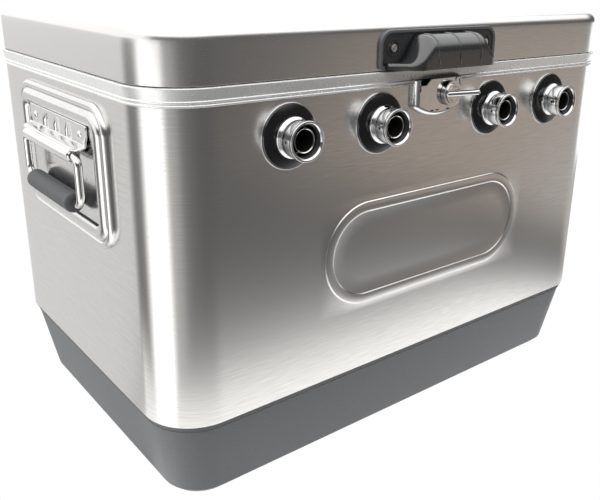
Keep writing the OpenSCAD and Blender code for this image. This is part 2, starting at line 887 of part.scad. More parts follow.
// Line that leaves y0 towards the middle at height z, bends down at port_y and ends on a fitting
module line_run(x, z, y0, arc_y, port_y) {
    inward = port_y > y0 ? 1 : -1;
    translate([x, 0, 0]) {
        translate([0, y0, z]) rotate([-90 * inward, 0, 0])
            linear_extrude(abs(arc_y - y0)) line_section();
        translate([0, arc_y, z - line_bend]) mirror([0, inward > 0 ? 0 : 1, 0])
            rotate([0, -90, 0]) rotate_extrude(angle = 90) translate([line_bend, 0]) line_section();
        translate([0, port_y, line_end_z]) linear_extrude(z - line_bend - line_end_z) line_section();
    }
}

module beer_line(i) {
    color(hose_clear) line_run(tap_xs[i], tap_z, barb_y0 + line_push, front_arc_y, front_port_y);
}

module supply_lines() {
    color(hose_clear) for (x = tap_xs)
        line_run(x, inlet_z, inlet_barb_y0 - line_push, rear_arc_y, rear_port_y);
}

module cold_plate() {
    rib_pitch = plate_w / (2 * rib_n + 2);
    color(alu) difference() {
        union() {
            translate([front_off, plate_y, 0])
                rounded_plate(plate_w, plate_d, plate_corner_r, floor_z, plate_top);
            for (i = [-rib_n:rib_n]) y_rod(front_off + i * rib_pitch, plate_top - rib_sink, rib_r,
                front_port_y + rib_clear, rear_port_y - rib_clear);
        }
        for (x = tap_xs, y = [front_port_y, rear_port_y]) translate([x, y, plate_top - plate_port_h])
            cylinder(r = barb_r, h = plate_port_h + over);
    }
}

module plate_fittings() {
    color(polished) for (x = tap_xs, y = [front_port_y, rear_port_y])
        translate([x, y, plate_top]) difference() {
            union() {
                translate([0, 0, -plate_port_h])
                    cylinder(r = barb_r, h = plate_port_h + fitting_barb_h);
                cylinder(r = fitting_hex_r, h = fitting_hex_h, $fn = 6);
            }
            translate([0, 0, -plate_port_h - over])
                cylinder(r = barb_hole_r, h = plate_port_h + fitting_barb_h + 2 * over);
        }
}

// ---------------------------------------------------------------- rear inlets

module inlet_bulkheads() {
    head_y = rear_y + inlet_flange_t + inlet_head_h;
    color(polished) for (x = tap_xs) difference() {
        union() {
            y_rod(x, inlet_z, inlet_flange_r, rear_y, rear_y + inlet_flange_t);
            y_rod(x, inlet_z, inlet_head_r, rear_y, head_y);
            y_rod(x, inlet_z, inlet_body_r, inner_rear_y - seal_t - inlet_nut_t - 2, rear_y + over);
            y_rod(x, inlet_z, tail_neck_r, inlet_barb_y0, inner_rear_y);
            y_rod(x, inlet_z, barb_r, inlet_barb_y0 - barb_l, inner_rear_y);
        }
        y_rod(x, inlet_z, inlet_r, head_y - inlet_depth, head_y + over);
        y_rod(x, inlet_z, barb_hole_r, inlet_barb_y0 - barb_l - over, head_y);
    }
}

module inlet_seals() {
    color(black) for (x = tap_xs) difference() {
        y_rod(x, inlet_z, inlet_nut_r, inner_rear_y - seal_t, inner_rear_y);
        y_rod(x, inlet_z, inlet_body_r, inner_rear_y - seal_t - over, inner_rear_y + over);
    }
}

module inlet_nuts() {
    y1 = inner_rear_y - seal_t;
    color(polished) for (x = tap_xs) difference() {
        y_hex(x, inlet_z, inlet_nut_r, y1 - inlet_nut_t, y1);
        y_rod(x, inlet_z, inlet_body_r, y1 - inlet_nut_t - over, y1 + over);
    }
}

// ---------------------------------------------------------------- hinges

// Leaf section seen along X: side -1 is the body's leaf below the axis, 1 the lid's above it
module leaf_section(side) {
    face = rear_y;
    stand = hinge_axis_y - knuckle_r;
    far = side * hinge_leaf_h;
    bend_far = side * leaf_bend_far;
    bend_near = side * leaf_bend_near;
    near = side * 1;
    translate([0, hinge_axis_z]) polygon([
        [face, far],
        [face + hinge_leaf_t, far],
        [face + hinge_leaf_t, bend_far],
        [stand + hinge_leaf_t, bend_near],
        [stand + hinge_leaf_t, near],
        [stand, near],
        [stand, bend_near],
        [face, bend_far]
    ]);
}

module along_x(w) {
    rotate([90, 0, 90]) translate([0, 0, -w / 2]) linear_extrude(w) children();
}

module knuckle_bore() {
    x_rod(hinge_axis_y, hinge_axis_z, hinge_pin_r + pin_gap, -hinge_w, hinge_w);
}

module leaf_rivet_points(side) {
    for (sx = [-1, 1])
        translate([sx * leaf_rivet_pitch / 2, 0, hinge_axis_z + side * leaf_rivet_drop]) children();
}

// Space of the other leaf's knuckle
module knuckle_space(x0, x1) {
    translate([x0, rear_y, hinge_axis_z - knuckle_r - 5])
        cube([x1 - x0, 2 * knuckle_r + 6, 2 * knuckle_r + 10]);
}

module hinge_body_leaves() {
    mid = knuckle_mid_w / 2 + knuckle_gap;
    color(polished) for (hx = hinge_xs) translate([hx, 0, 0]) difference() {
        union() {
            along_x(hinge_w) leaf_section(-1);
            x_rod(hinge_axis_y, hinge_axis_z, knuckle_r, -hinge_w / 2, hinge_w / 2);
        }
        knuckle_space(-mid, mid);
        knuckle_bore();
        leaf_rivet_points(-1) y_rod(0, 0, rivet_r, rear_y - 5, rear_y + 5);
    }
}

module hinge_lid_leaves() {
    mid = knuckle_mid_w / 2;
    color(polished) for (hx = hinge_xs) translate([hx, 0, 0]) difference() {
        union() {
            along_x(hinge_w) leaf_section(1);
            x_rod(hinge_axis_y, hinge_axis_z, knuckle_r, -mid, mid);
        }
        knuckle_space(-hinge_w / 2 - over, -mid);
        knuckle_space(mid, hinge_w / 2 + over);
        knuckle_bore();
        leaf_rivet_points(1) y_rod(0, 0, rivet_r, rear_y - 5, rear_y + 5);
    }
}

module hinge_pins() {
    color(polished) for (hx = hinge_xs) {
        x_rod(hinge_axis_y, hinge_axis_z, hinge_pin_r,
            hx - hinge_w / 2 - pin_head_t, hx + hinge_w / 2 + pin_head_t);
        for (s = [-1, 1]) x_rod(hinge_axis_y, hinge_axis_z, pin_head_r,
            hx + s * (hinge_w / 2 + pin_head_t / 2) - pin_head_t / 2,
            hx + s * (hinge_w / 2 + pin_head_t / 2) + pin_head_t / 2);
    }
}

module hinge_rivet_holes(side) {
    for (hx = hinge_xs) translate([hx, 0, 0])
        leaf_rivet_points(side) y_rod(0, 0, rivet_r, rear_y - 5, rear_y + over);
}

module leaf_rivets(side) {
    color(polished) for (hx = hinge_xs) translate([hx, 0, 0]) leaf_rivet_points(side) {
        y_rod(0, 0, rivet_r, rear_y - sheet_t, rear_y + hinge_leaf_t + 0.5);
        y_rod(0, 0, rivet_head_r, rear_y + hinge_leaf_t, rear_y + hinge_leaf_t + rivet_head_t);
    }
}

// ---------------------------------------------------------------- latch

// Front outline of the latch housing, shrunk by inset
module latch_outline(inset) {
    intersection() {
        translate([latch_x - latch_w / 2 + inset, latch_bottom - over])
            square([latch_w - 2 * inset, latch_h + over + inset]);
        translate([latch_x, latch_bottom + latch_arc_r]) circle(r = latch_arc_r - inset, $fn = 128);
    }
}

module latch_rivet_points() {
    for (dx = [-latch_rivet_in, latch_rivet_in])
        translate([latch_x + dx, 0, latch_bottom + latch_rivet_up]) children();
}

module latch_rivet_holes() {
    latch_rivet_points() y_rod(0, 0, rivet_r, front_y - over, front_y + 5);
}

// Folded steel cover: a face, two sides and a curved lower edge, open towards the rim
module latch_housing() {
    tab_t = 1;
    color(polished) difference() {
        translate([0, front_y, 0]) rotate([90, 0, 0]) linear_extrude(latch_out) latch_outline(0);
        translate([0, front_y - tab_t, 0]) rotate([90, 0, 0])
            linear_extrude(latch_out - latch_t - tab_t) latch_outline(latch_t);
        // Its sides are notched where they pass the rim's steel band
        translate([latch_x - latch_w, front_y - rim_proud, shell_top])
            cube([2 * latch_w, 2 * rim_proud, 2 * rim_h]);
        translate([latch_x - latch_w / 2 + latch_t, front_y - tab_t - over / 4, latch_bottom + latch_tab_h])
            cube([latch_w - 2 * latch_t, tab_t + over, latch_h]);
        y_rod(hub_x, hub_z, hub_shaft_r + move_gap, latch_face_y - over, front_y + over);
        // Trapezium through which the strike is seen
        translate([cutout_x, latch_face_y + 2 * latch_t, 0]) rotate([90, 0, 0])
            linear_extrude(4 * latch_t) polygon([
                [-cutout_w / 2, latch_top + over],
                [cutout_w / 2, latch_top + over],
                [cutout_w / 2 - cutout_h, latch_top - cutout_h],
                [-cutout_w / 2 + cutout_h / 2, latch_top - cutout_h]
            ]);
        for (dx = [-10, -3, 12]) translate([latch_x + dx - 2, latch_face_y - over, latch_bottom + 4.4])
            cube([4, latch_t + 1.5 * over, 1.8]);
        latch_rivet_points() y_rod(0, 0, rivet_r, front_y - tab_t - over, front_y + over);
    }
}

module latch_rivets() {
    color(polished) latch_rivet_points() {
        y_rod(0, 0, rivet_r, front_y - 1.5, front_y + sheet_t);
        y_rod(0, 0, rivet_head_r - 0.5, front_y - 1 - rivet_head_t, front_y - 1);
    }
}

module latch_lever() {
    back_y = latch_face_y - hub_back;
    top_y = back_y - hub_h - hub_cap_h;
    color(polished) {
        difference() {
            union() {
                y_rod(hub_x, hub_z, hub_r, back_y - hub_h, back_y);
                y_rod(hub_x, hub_z, hub_r - 2.6, top_y, back_y);
                y_rod(hub_x, hub_z, hub_shaft_r, back_y - 1, cam_y + cam_t);
            }
            translate([hub_x, top_y, hub_z]) rotate([90, 0, 0])
                rotate_extrude() translate([hub_r - 5.2, 0]) circle(r = 0.7, $fn = 16);
        }
        translate([hub_x - 7, top_y + 1, hub_z]) rotate([0, 90, -lever_tilt]) {
            cylinder(r = lever_r, h = lever_l);
            translate([0, 0, lever_l]) sphere(r = lever_r);
            sphere(r = lever_r);
        }
    }
}

// Cam on the inner end of the hub's shaft; at rest it lies behind the strike
module latch_cam() {
    arm = cam_reach - cam_tip_r;
    color(polished) translate([hub_x, cam_y + cam_t, hub_z]) rotate([90, 0, 0]) difference() {
        linear_extrude(cam_t) {
            circle(r = cam_boss_r);
            translate([-arm, -cam_tip_r]) square([arm, 2 * cam_tip_r]);
            translate([-arm, 0]) circle(r = cam_tip_r);
        }
        translate([0, 0, -over]) cylinder(r = hub_shaft_r, h = cam_t + 2 * over);
    }
}

// Tongue under the lid that drops through the slot in the rim
module latch_strike() {
    z1 = lid_z0 + lid_floor_t;
    color(polished) difference() {
        union() {
            translate([strike_x - strike_w / 2, strike_y - strike_t / 2, strike_z0])
                cube([strike_w, strike_t, z1 - strike_z0]);
            translate([strike_x - strike_w / 2, strike_y - strike_t / 2, z1 - strike_t])
                cube([strike_w, strike_foot, strike_t]);
        }
        translate([strike_x - strike_window_w / 2, strike_y - strike_t, strike_z0 + strike_window_up])
            cube([strike_window_w, 2 * strike_t, strike_window_h]);
    }
}

// ---------------------------------------------------------------- lid

module lid_shell() {
    color(steel) difference() {
        rolled_slab(body_w, body_d, corner_r, lid_z0, lid_top, lid_roll);
        rolled_slab(body_w - 2 * sheet_t, body_d - 2 * sheet_t, corner_r - sheet_t,
            lid_z0 - over, lid_top - sheet_t, lid_roll - sheet_t);
        hinge_rivet_holes(1);
        pull_screw_points() y_rod(0, 0, rivet_r, front_y - over, front_y + 5);
    }
}

module lid_foam() {
    plug_w = cavity_w - 2 * plug_gap - 2 * liner_t;
    plug_d = cavity_d - 2 * plug_gap - 2 * liner_t;
    color(foam_cream) union() {
        rolled_slab(body_w - 2 * sheet_t, body_d - 2 * sheet_t, corner_r - sheet_t,
            lid_z0 + lid_floor_t, lid_top - sheet_t, lid_roll - sheet_t);
        rounded_plate(plug_w, plug_d, cavity_r - plug_gap - liner_t,
            lid_z0 - plug_h + liner_t, lid_z0 + lid_floor_t);
    }
}

module lid_liner() {
    plug_w = cavity_w - 2 * plug_gap;
    plug_d = cavity_d - 2 * plug_gap;
    plug_r = cavity_r - plug_gap;
    color(white) difference() {
        union() {
            rounded_plate(body_w - 2 * sheet_t, body_d - 2 * sheet_t, corner_r - sheet_t,
                lid_z0, lid_z0 + lid_floor_t);
            rounded_plate(plug_w, plug_d, plug_r, lid_z0 - plug_h, lid_z0 + lid_floor_t);
        }
        rounded_plate(plug_w - 2 * liner_t, plug_d - 2 * liner_t, plug_r - liner_t,
            lid_z0 - plug_h + liner_t, lid_z0 + lid_floor_t + over);
        gasket_ring(lid_z0 - over, lid_z0 + gasket_h / 2);
        translate([strike_x - strike_w / 2, strike_y - strike_t / 2, lid_z0 - over])
            cube([strike_w, strike_t, lid_floor_t + 2 * over]);
        translate([strike_x - strike_w / 2, strike_y - strike_t / 2, lid_z0 + lid_floor_t - strike_t])
            cube([strike_w, strike_foot, strike_t + over]);
    }
}

module gasket_ring(z0, z1) {
    w = cavity_w + 2 * gasket_in;
    d = cavity_d + 2 * gasket_in;
    difference() {
        rounded_plate(w, d, cavity_r + gasket_in, z0, z1);
        rounded_plate(w - 2 * gasket_w, d - 2 * gasket_w, cavity_r + gasket_in - gasket_w,
            z0 - over, z1 + over);
    }
}

module lid_gasket() {
    color([0.75, 0.75, 0.75]) gasket_ring(rim_top + 0.3, lid_z0 + gasket_h / 2);
}

module pull_screw_points() {
    for (s = [-1, 1]) translate([pull_x + s * pull_screw_x, 0, pull_screw_z]) children();
}

// Back plate outline: round upper corners, small lower ones
module pull_outline(inset) {
    w = pull_w - 2 * inset;
    h = pull_h - 2 * inset;
    translate([0, pull_z0 + pull_h / 2]) {
        translate([-w / 2, -h / 2]) square([w, h - pull_r + inset]);
        translate([-w / 2 + pull_r - inset, -h / 2]) square([w - 2 * (pull_r - inset), h]);
        for (s = [-1, 1]) translate([s * (w / 2 - pull_r + inset), h / 2 - pull_r + inset])
            circle(r = pull_r - inset);
    }
}

// Outline of the bulging cover, drawn from 0 up: a bell of height h with S-shaped ends,
// flat over the width top_w
module pull_bell(ledge, h, top_w) {
    side_w = (pull_cover_w - top_w) / 2;
    rise = h - ledge;
    arc_r = (side_w * side_w / 4 + rise * rise / 4) / rise;
    translate([-pull_cover_w / 2, 0]) square([pull_cover_w, ledge]);
    translate([-top_w / 2, 0]) square([top_w, h]);
    for (s = [-1, 1]) {
        intersection() {
            translate([s * top_w / 2, h - arc_r]) circle(r = arc_r);
            translate([s * (top_w + side_w / 2) / 2 - side_w / 2, ledge + rise / 2])
                square([side_w, rise / 2]);
        }
        difference() {
            translate([s * (top_w / 2 + side_w / 2) - side_w / 2, 0])
                square([side_w, ledge + rise / 2]);
            translate([s * pull_cover_w / 2, ledge + arc_r]) circle(r = arc_r);
        }
    }
}

module pull_front_bell() {
    translate([0, pull_z0]) pull_bell(pull_ledge, pull_h - pull_rim, pull_top_w);
}

// Cover section seen along X: a round bulge, hollow from below
module pull_section(inset) {
    out = pull_out - inset;
    top = pull_z0 + pull_h - pull_rim - inset;
    mid = pull_z0 + pull_h * 0.45;
    translate([front_y, 0]) intersection() {
        translate([-out, pull_z0 - over]) square([out, top - pull_z0 + over]);
        union() {
            translate([-out + (top - mid), mid]) circle(r = top - mid);
            translate([-out, pull_z0 - over]) square([out, mid - pull_z0 + over]);
            translate([-out + (top - mid), pull_z0]) square([out - top + mid, top - pull_z0]);
        }
    }
}

module lid_pull() {
    color(charcoal) difference() {
        translate([pull_x, 0, 0]) difference() {
            union() {
                translate([0, front_y, 0]) rotate([90, 0, 0])
                    linear_extrude(pull_plate_t) pull_outline(0);
                // The cover swells out of the plate both upwards and forwards
                intersection() {
                    along_x(pull_cover_w) pull_section(0);
                    translate([0, front_y, 0]) rotate([90, 0, 0])
                        linear_extrude(pull_out + over) pull_front_bell();
                    translate([0, front_y, pull_z0 - over]) mirror([0, 1, 0])
                        linear_extrude(pull_h + over)
                            pull_bell(pull_ledge_out, pull_out, pull_front_w);
                }
                for (i = [-1:1]) intersection() {
                    translate([i * pull_rib_pitch, 0, 0])
                        along_x(2 * pull_rib_r) pull_section(-pull_rib_out);
                    translate([i * pull_rib_pitch - pull_rib_r, front_y - pull_out - over, pull_z0 + 4])
                        cube([2 * pull_rib_r, pull_out, pull_h - pull_rim - 4 + pull_rib_out]);
                }
            }
            // Room for the fingers, open at the bottom
            intersection() {
                along_x(pull_top_w) pull_section(pull_wall);
                translate([-pull_w, front_y - pull_out, pull_z0 - over])
                    cube([2 * pull_w, pull_out - pull_plate_t, pull_h]);
            }
            // Sunken field of the back plate
            translate([0, front_y - pull_plate_t + 1, 0]) rotate([90, 0, 0]) linear_extrude(over + 1)
                difference() {
                    pull_outline(3);
                    pull_front_bell();
                }
        }
        pull_screw_points() y_rod(0, 0, rivet_r, front_y - 5, front_y + over);
    }
}

module lid_pull_screws() {
    face = front_y - pull_plate_t + 1;
    color(polished) pull_screw_points() {
        y_rod(0, 0, rivet_r, face, front_y + sheet_t);
        difference() {
            y_rod(0, 0, rivet_head_r - 0.5, face - rivet_head_t, face);
            translate([-0.5, face - rivet_head_t - over, -2.2]) cube([1, over + 0.7, 4.4]);
            translate([-2.2, face - rivet_head_t - over, -0.5]) cube([4.4, over + 0.7, 1]);
        }
    }
}

// ---------------------------------------------------------------- drain

module drain_spout() {
    flange_x = side_x - base_step;
    color(black) difference() {
        union() {
            x_rod(0, drain_z, spout_r, cavity_w / 2 - spout_inner, spout_tip_x);
            x_rod(0, drain_z, spout_flange_r, flange_x, flange_x + spout_flange_t);
        }
        x_rod(0, drain_z, drain_r, cavity_w / 2 - spout_inner - over, spout_tip_x + over);
    }
}

// Its lower side is flat and rests on the cavity's floor, which keeps it from turning
module drain_nut() {
    x0 = cavity_w / 2 - drain_nut_t;
    color(black) difference() {
        translate([x0, 0, drain_z]) rotate([0, 90, 0]) cylinder(r = drain_nut_r, h = drain_nut_t, $fn = 6);
        translate([x0 - over, -drain_nut_r, floor_z - drain_nut_r])
            cube([drain_nut_t + 2 * over, 2 * drain_nut_r, drain_nut_r]);
        x_rod(0, drain_z, spout_r, x0 - over, cavity_w / 2 + over);
    }
}

module drain_cap() {
    x0 = spout_face_x + move_gap;
    bore_x = spout_tip_x + cap_seal_t + 2 * cap_face_gap;
    x1 = bore_x + cap_wall;
    cap_in = spout_r + cap_side_gap;
    color(black) difference() {
        x_rod(0, drain_z, cap_in + cap_wall, x0, x1);
        x_rod(0, drain_z, cap_in, x0 - over, bore_x);
        for (a = [0:30:330]) translate([0, 0, drain_z]) rotate([a, 0, 0])
            translate([x0 + 2, 0, cap_in + cap_wall + 0.6]) rotate([0, 90, 0])
                cylinder(r = 1.5, h = x1 - x0);
    }
}

module drain_cap_seal() {
    color(rubber_grey) x_rod(0, drain_z, spout_r, spout_tip_x + cap_face_gap,
        spout_tip_x + cap_face_gap + cap_seal_t);
}

// ---------------------------------------------------------------- parts

base_pan();
outer_shell();
insulation_foam();
inner_liner();
rim_trim();
handle_dish(-1);  // handle_dish_left
handle_dish(1);  // handle_dish_right
handle_bracket(-1);  // handle_bracket_left
handle_bracket(1);  // handle_bracket_right
handle_rivets();
bail(-1);  // bail_left
bail(1);  // bail_right
grip(-1);  // grip_left
grip(1);  // grip_right
tap_flange(0);  // tap_flange_1
tap_flange(1);  // tap_flange_2
tap_flange(2);  // tap_flange_3
tap_flange(3);  // tap_flange_4
flange_rings();
shank(0);  // shank_1
shank(1);  // shank_2
shank(2);  // shank_3
shank(3);  // shank_4
coupling_nut(0);  // coupling_nut_1
coupling_nut(1);  // coupling_nut_2
coupling_nut(2);  // coupling_nut_3
coupling_nut(3);  // coupling_nut_4
shank_seals();
shank_locknuts();
tail_pieces();
tail_nuts();
beer_line(0);  // beer_line_1
beer_line(1);  // beer_line_2
beer_line(2);  // beer_line_3
beer_line(3);  // beer_line_4
cold_plate();
plate_fittings();
supply_lines();
inlet_bulkheads();
inlet_nuts();
inlet_seals();
hinge_body_leaves();
hinge_lid_leaves();
hinge_pins();
leaf_rivets(-1);  // hinge_body_screws
leaf_rivets(1);  // hinge_lid_screws
latch_housing();
latch_rivets();
latch_lever();
latch_cam();
latch_strike();
lid_shell();
lid_foam();
lid_liner();
lid_gasket();
lid_pull();
lid_pull_screws();
drain_spout();
drain_nut();
drain_cap();
drain_cap_seal();
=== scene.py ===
"""Looks of the jockey box cooler: brushed steel body and lid, moulded base, taps, latch and handles.

Sizes are in millimetres in every class and turn to metres when a mesh is made. The frame is the
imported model's: the front faces -Y, +X runs to the right along it and +Z is up.
"""
import json
import logging
import math
from dataclasses import dataclass, field
from enum import Enum
from typing import Any, Iterable, Sequence

import bmesh
import bpy
import numpy as np
from mathutils import Matrix, Vector

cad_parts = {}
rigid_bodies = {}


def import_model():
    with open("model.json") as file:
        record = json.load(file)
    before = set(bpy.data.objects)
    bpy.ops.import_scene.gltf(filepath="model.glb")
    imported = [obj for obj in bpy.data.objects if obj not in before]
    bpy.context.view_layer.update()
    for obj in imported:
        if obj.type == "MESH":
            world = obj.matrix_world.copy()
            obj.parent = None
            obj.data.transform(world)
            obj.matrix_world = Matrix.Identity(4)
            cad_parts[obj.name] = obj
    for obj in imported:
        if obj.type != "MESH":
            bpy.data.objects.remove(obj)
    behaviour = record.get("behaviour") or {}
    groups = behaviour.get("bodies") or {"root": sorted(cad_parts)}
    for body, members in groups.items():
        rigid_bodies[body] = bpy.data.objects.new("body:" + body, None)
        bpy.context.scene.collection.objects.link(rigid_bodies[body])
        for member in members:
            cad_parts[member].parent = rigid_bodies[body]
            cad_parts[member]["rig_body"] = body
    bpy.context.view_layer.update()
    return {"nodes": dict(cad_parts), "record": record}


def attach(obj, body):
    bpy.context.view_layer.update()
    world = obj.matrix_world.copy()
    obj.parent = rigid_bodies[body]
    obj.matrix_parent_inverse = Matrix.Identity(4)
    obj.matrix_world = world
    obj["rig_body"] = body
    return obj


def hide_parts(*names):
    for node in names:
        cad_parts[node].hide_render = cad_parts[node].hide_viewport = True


MM = 0.001
WELD = 2e-6
TAU = 2 * math.pi
Array = np.ndarray
log = logging.getLogger("cooler")


# ---------------------------------------------------------------- surfaces as arrays


def smooth_step(t: Array) -> Array:
    """Cubic ramp 3t^2 - 2t^3 between 0 and 1, flat outside."""
    t = np.clip(t, 0.0, 1.0)
    return t * t * (3 - 2 * t)


def smooth_max(a: Array, b: Array, k: float) -> Array:
    """The larger of two heights, with the crease between them rounded over k millimetres."""
    h = np.clip(0.5 + 0.5 * (a - b) / k, 0.0, 1.0)
    return b + (a - b) * h + k * h * (1 - h)


def grid_quads(rows: int, cols: int, close_rows: bool = False, close_cols: bool = False) -> Array:
    """Corner numbers of the quads of a grid of points.

    Args:
        rows: Points along the first direction.
        cols: Points along the second direction.
        close_rows: Joins the last row to the first.
        close_cols: Joins the last column to the first.

    Returns:
        An array of shape (quads, 4).
    """
    r = np.arange(rows if close_rows else rows - 1)
    c = np.arange(cols if close_cols else cols - 1)
    row, col = np.meshgrid(r, c, indexing="ij")
    up, right = (row + 1) % rows, (col + 1) % cols
    quads = [row * cols + col, row * cols + right, up * cols + right, up * cols + col]
    return np.stack(quads, -1).reshape(-1, 4)


@dataclass
class Skin:
    """Points and quads that gather up to one piece."""

    points: list[Array] = field(default_factory=list)
    quads: list[Array] = field(default_factory=list)
    count: int = 0

    def add(self, points: Array, quads: Array) -> "Skin":
        """Adds loose points with their quads."""
        self.points.append(points.reshape(-1, 3))
        self.quads.append(quads + self.count)
        self.count += self.points[-1].shape[0]
        return self

    def add_grid(self, grid: Array, close_rows: bool = False, close_cols: bool = False) -> "Skin":
        """Adds a (rows, cols, 3) grid."""
        return self.add(grid, grid_quads(grid.shape[0], grid.shape[1], close_rows, close_cols))

    def add_cap(self, loop: Array) -> "Skin":
        """Closes a loop with quads that shrink to its middle."""
        middle = np.broadcast_to(loop.mean(0), loop.shape)
        return self.add_grid(np.stack([loop, middle]), close_cols=True)

    def turned(self, turn: Array, move: Sequence[float]) -> "Skin":
        """The same skin, turned by a 3 x 3 matrix and then moved."""
        return Skin([p @ turn.T + np.array(move) for p in self.points], list(self.quads), self.count)

    def joined(self, other: "Skin") -> "Skin":
        """Takes another skin's points and quads in."""
        for points, quads in zip(other.points, other.quads):
            self.points.append(points)
            self.quads.append(quads + self.count)
        self.count += other.count
        return self


def rounded_stations(width: float, depth: float, radius: float, corner: int,
                     along_w: Array | None = None, along_d: Array | None = None) -> tuple[Array, Array]:
    """Stations round a rectangle with round corners, from its front left going right.

    Args:
        width: Size along X.
        depth: Size along Y.
        radius: Corner radius.
        corner: Steps in each quarter turn.
        along_w: Places between the corners along the front and back, or None for the ends only.
        along_d: The same for the two sides.

    Returns:
        The foot of each station on the rectangle of corner centres, and its outward direction,
        both of shape (n, 2). A point of the outline is foot + direction * radius.
    """
    a, b = width / 2 - radius, depth / 2 - radius
    xs = np.array([-a, a]) if along_w is None else np.asarray(along_w, float)
    ys = np.array([-b, b]) if along_d is None else np.asarray(along_d, float)
    feet, ways = [], []
    corners = [(a, -b, -90.0), (a, b, 0.0), (-a, b, 90.0), (-a, -b, 180.0)]
    sides = [
        (np.stack([xs, np.full_like(xs, -b)], 1), (0.0, -1.0)),
        (np.stack([np.full_like(ys, a), ys], 1), (1.0, 0.0)),
        (np.stack([xs[::-1], np.full_like(xs, b)], 1), (0.0, 1.0)),
        (np.stack([np.full_like(ys, -a), ys[::-1]], 1), (-1.0, 0.0)),
    ]
    for (foot, way), (cx, cy, start) in zip(sides, corners):
        feet.append(foot)
        ways.append(np.broadcast_to(np.array(way), foot.shape))
        turn = np.radians(start + np.linspace(0, 90, corner + 1)[1:-1])
        feet.append(np.broadcast_to(np.array([cx, cy]), (corner - 1, 2)))
        ways.append(np.stack([np.cos(turn), np.sin(turn)], 1))
    return np.concatenate(feet), np.concatenate(ways)


def sweep_round(feet: Array, ways: Array, profile: Array) -> Array:
    """Carries a profile round the stations: point = foot + direction * reach, at the profile's height.

    Args:
        feet: Station feet.
        ways: Station directions.
        profile: Rows of (reach from the foot, height).

    Returns:
        A grid of shape (profile points, stations, 3).
    """
    flat = feet[None] + ways[None] * profile[:, 0][:, None, None]
    height = np.broadcast_to(profile[:, 1][:, None, None], flat.shape[:2] + (1,))
    return np.concatenate([flat, height], -1)


def fill_round(feet: Array, ways: Array, reach: float, height: float) -> Array:
    """Flat rings from a rounded outline in to its middle line: reach shrinks to nothing, then feet meet.

    Args:
        feet: Station feet.
        ways: Station directions.
        reach: Distance of the outline from the feet.
        height: Height of the flat.

    Returns:
        A grid of shape (4, stations, 3).
    """
    line = np.stack([np.clip(feet[:, 0], -np.ptp(feet[:, 0]) / 4, np.ptp(feet[:, 0]) / 4),
                     np.zeros(len(feet))], 1)
    rings = [feet + ways * reach, feet, (feet + line) / 2, line]
    flat = np.stack(rings)
    return np.concatenate([flat, np.full(flat.shape[:2] + (1,), height)], -1)


def arc(centre: tuple[float, float], radius: float, start: float, end: float, steps: int) -> Array:
    """Points of a circular arc: centre + radius * (cos, sin), angles in degrees."""
    t = np.radians(np.linspace(start, end, steps + 1))
    return np.stack([centre[0] + radius * np.cos(t), centre[1] + radius * np.sin(t)], 1)


def revolve(profile: Array, steps: int = 64) -> Skin:
    """Turns a closed profile of (radius, height) about Z: (r cos a, r sin a, h).

    Args:
        profile: Rows of (radius, height).
        steps: Points round the axis.

    Returns:
        The closed skin.
    """
    turn = np.arange(steps) * TAU / steps
    r, h = profile[:, 0][:, None], profile[:, 1][:, None]
    grid = np.stack([r * np.cos(turn), r * np.sin(turn), h + 0 * turn], -1)
    return Skin().add_grid(grid, close_rows=True, close_cols=True)


def tube(path: Array, radius: Array | float, sides: int = 20, closed: bool = False) -> Skin:
    """A round section carried along a path, its frame turned with the path and never twisted.

    Args:
        path: Points of the centre line.
        radius: One radius, or one for each point.
        sides: Points round the section.
        closed: Joins the end to the start.

    Returns:
        The tube, with flat ends if it is open.
    """
    ahead = np.roll(path, -1, 0) - np.roll(path, 1, 0)
    if not closed:
        ahead[0], ahead[-1] = path[1] - path[0], path[-1] - path[-2]
    ahead /= np.linalg.norm(ahead, axis=1)[:, None]
    normal = np.zeros_like(path)
    seed = np.array([0.0, 0.0, 1.0]) if abs(ahead[0, 2]) < 0.9 else np.array([1.0, 0.0, 0.0])
    normal[0] = seed - ahead[0] * (seed @ ahead[0])
    for i in range(1, len(path)):
        normal[i] = normal[i - 1] - ahead[i] * (normal[i - 1] @ ahead[i])
    normal /= np.linalg.norm(normal, axis=1)[:, None]
    side = np.cross(ahead, normal)
    turn = np.arange(sides) * TAU / sides
    r = np.broadcast_to(np.asarray(radius, float), (len(path),))[:, None, None]
    grid = (path[:, None] + r * (np.cos(turn)[None, :, None] * normal[:, None]
                                 + np.sin(turn)[None, :, None] * side[:, None]))
    skin = Skin().add_grid(grid, close_rows=closed, close_cols=True)
    if not closed:
        skin.add_cap(grid[0]).add_cap(grid[-1])
    return skin


def rounded_path(corners: Array, radii: Sequence[float], steps: int = 8) -> Array:
    """A polyline whose inner corners are cut by arcs.

    Each arc's centre lies on the corner's bisector, at radius / sin(half the angle).

    Args:
        corners: Points of the polyline.
        radii: One radius for each inner corner.
        steps: Steps in each arc.

    Returns:
        The points of the rounded path.
    """
    out = [corners[0]]
    for before, here, after, r in zip(corners[:-2], corners[1:-1], corners[2:], radii):
        u = (before - here) / np.linalg.norm(before - here)
        v = (after - here) / np.linalg.norm(after - here)
        half = math.acos(float(np.clip(u @ v, -1, 1))) / 2
        cut = r / math.tan(half)
        centre = here + (u + v) / np.linalg.norm(u + v) * (r / math.sin(half))
        a, b = here + u * cut - centre, here + v * cut - centre
        sweep = math.acos(float(np.clip(a @ b / (r * r), -1, 1)))
        t = np.linspace(0, 1, steps + 1)[:, None]
        out.extend(centre + (np.sin((1 - t) * sweep) * a + np.sin(t * sweep) * b) / math.sin(sweep))
    out.append(corners[-1])
    return np.array(out)


# ---------------------------------------------------------------- finishes


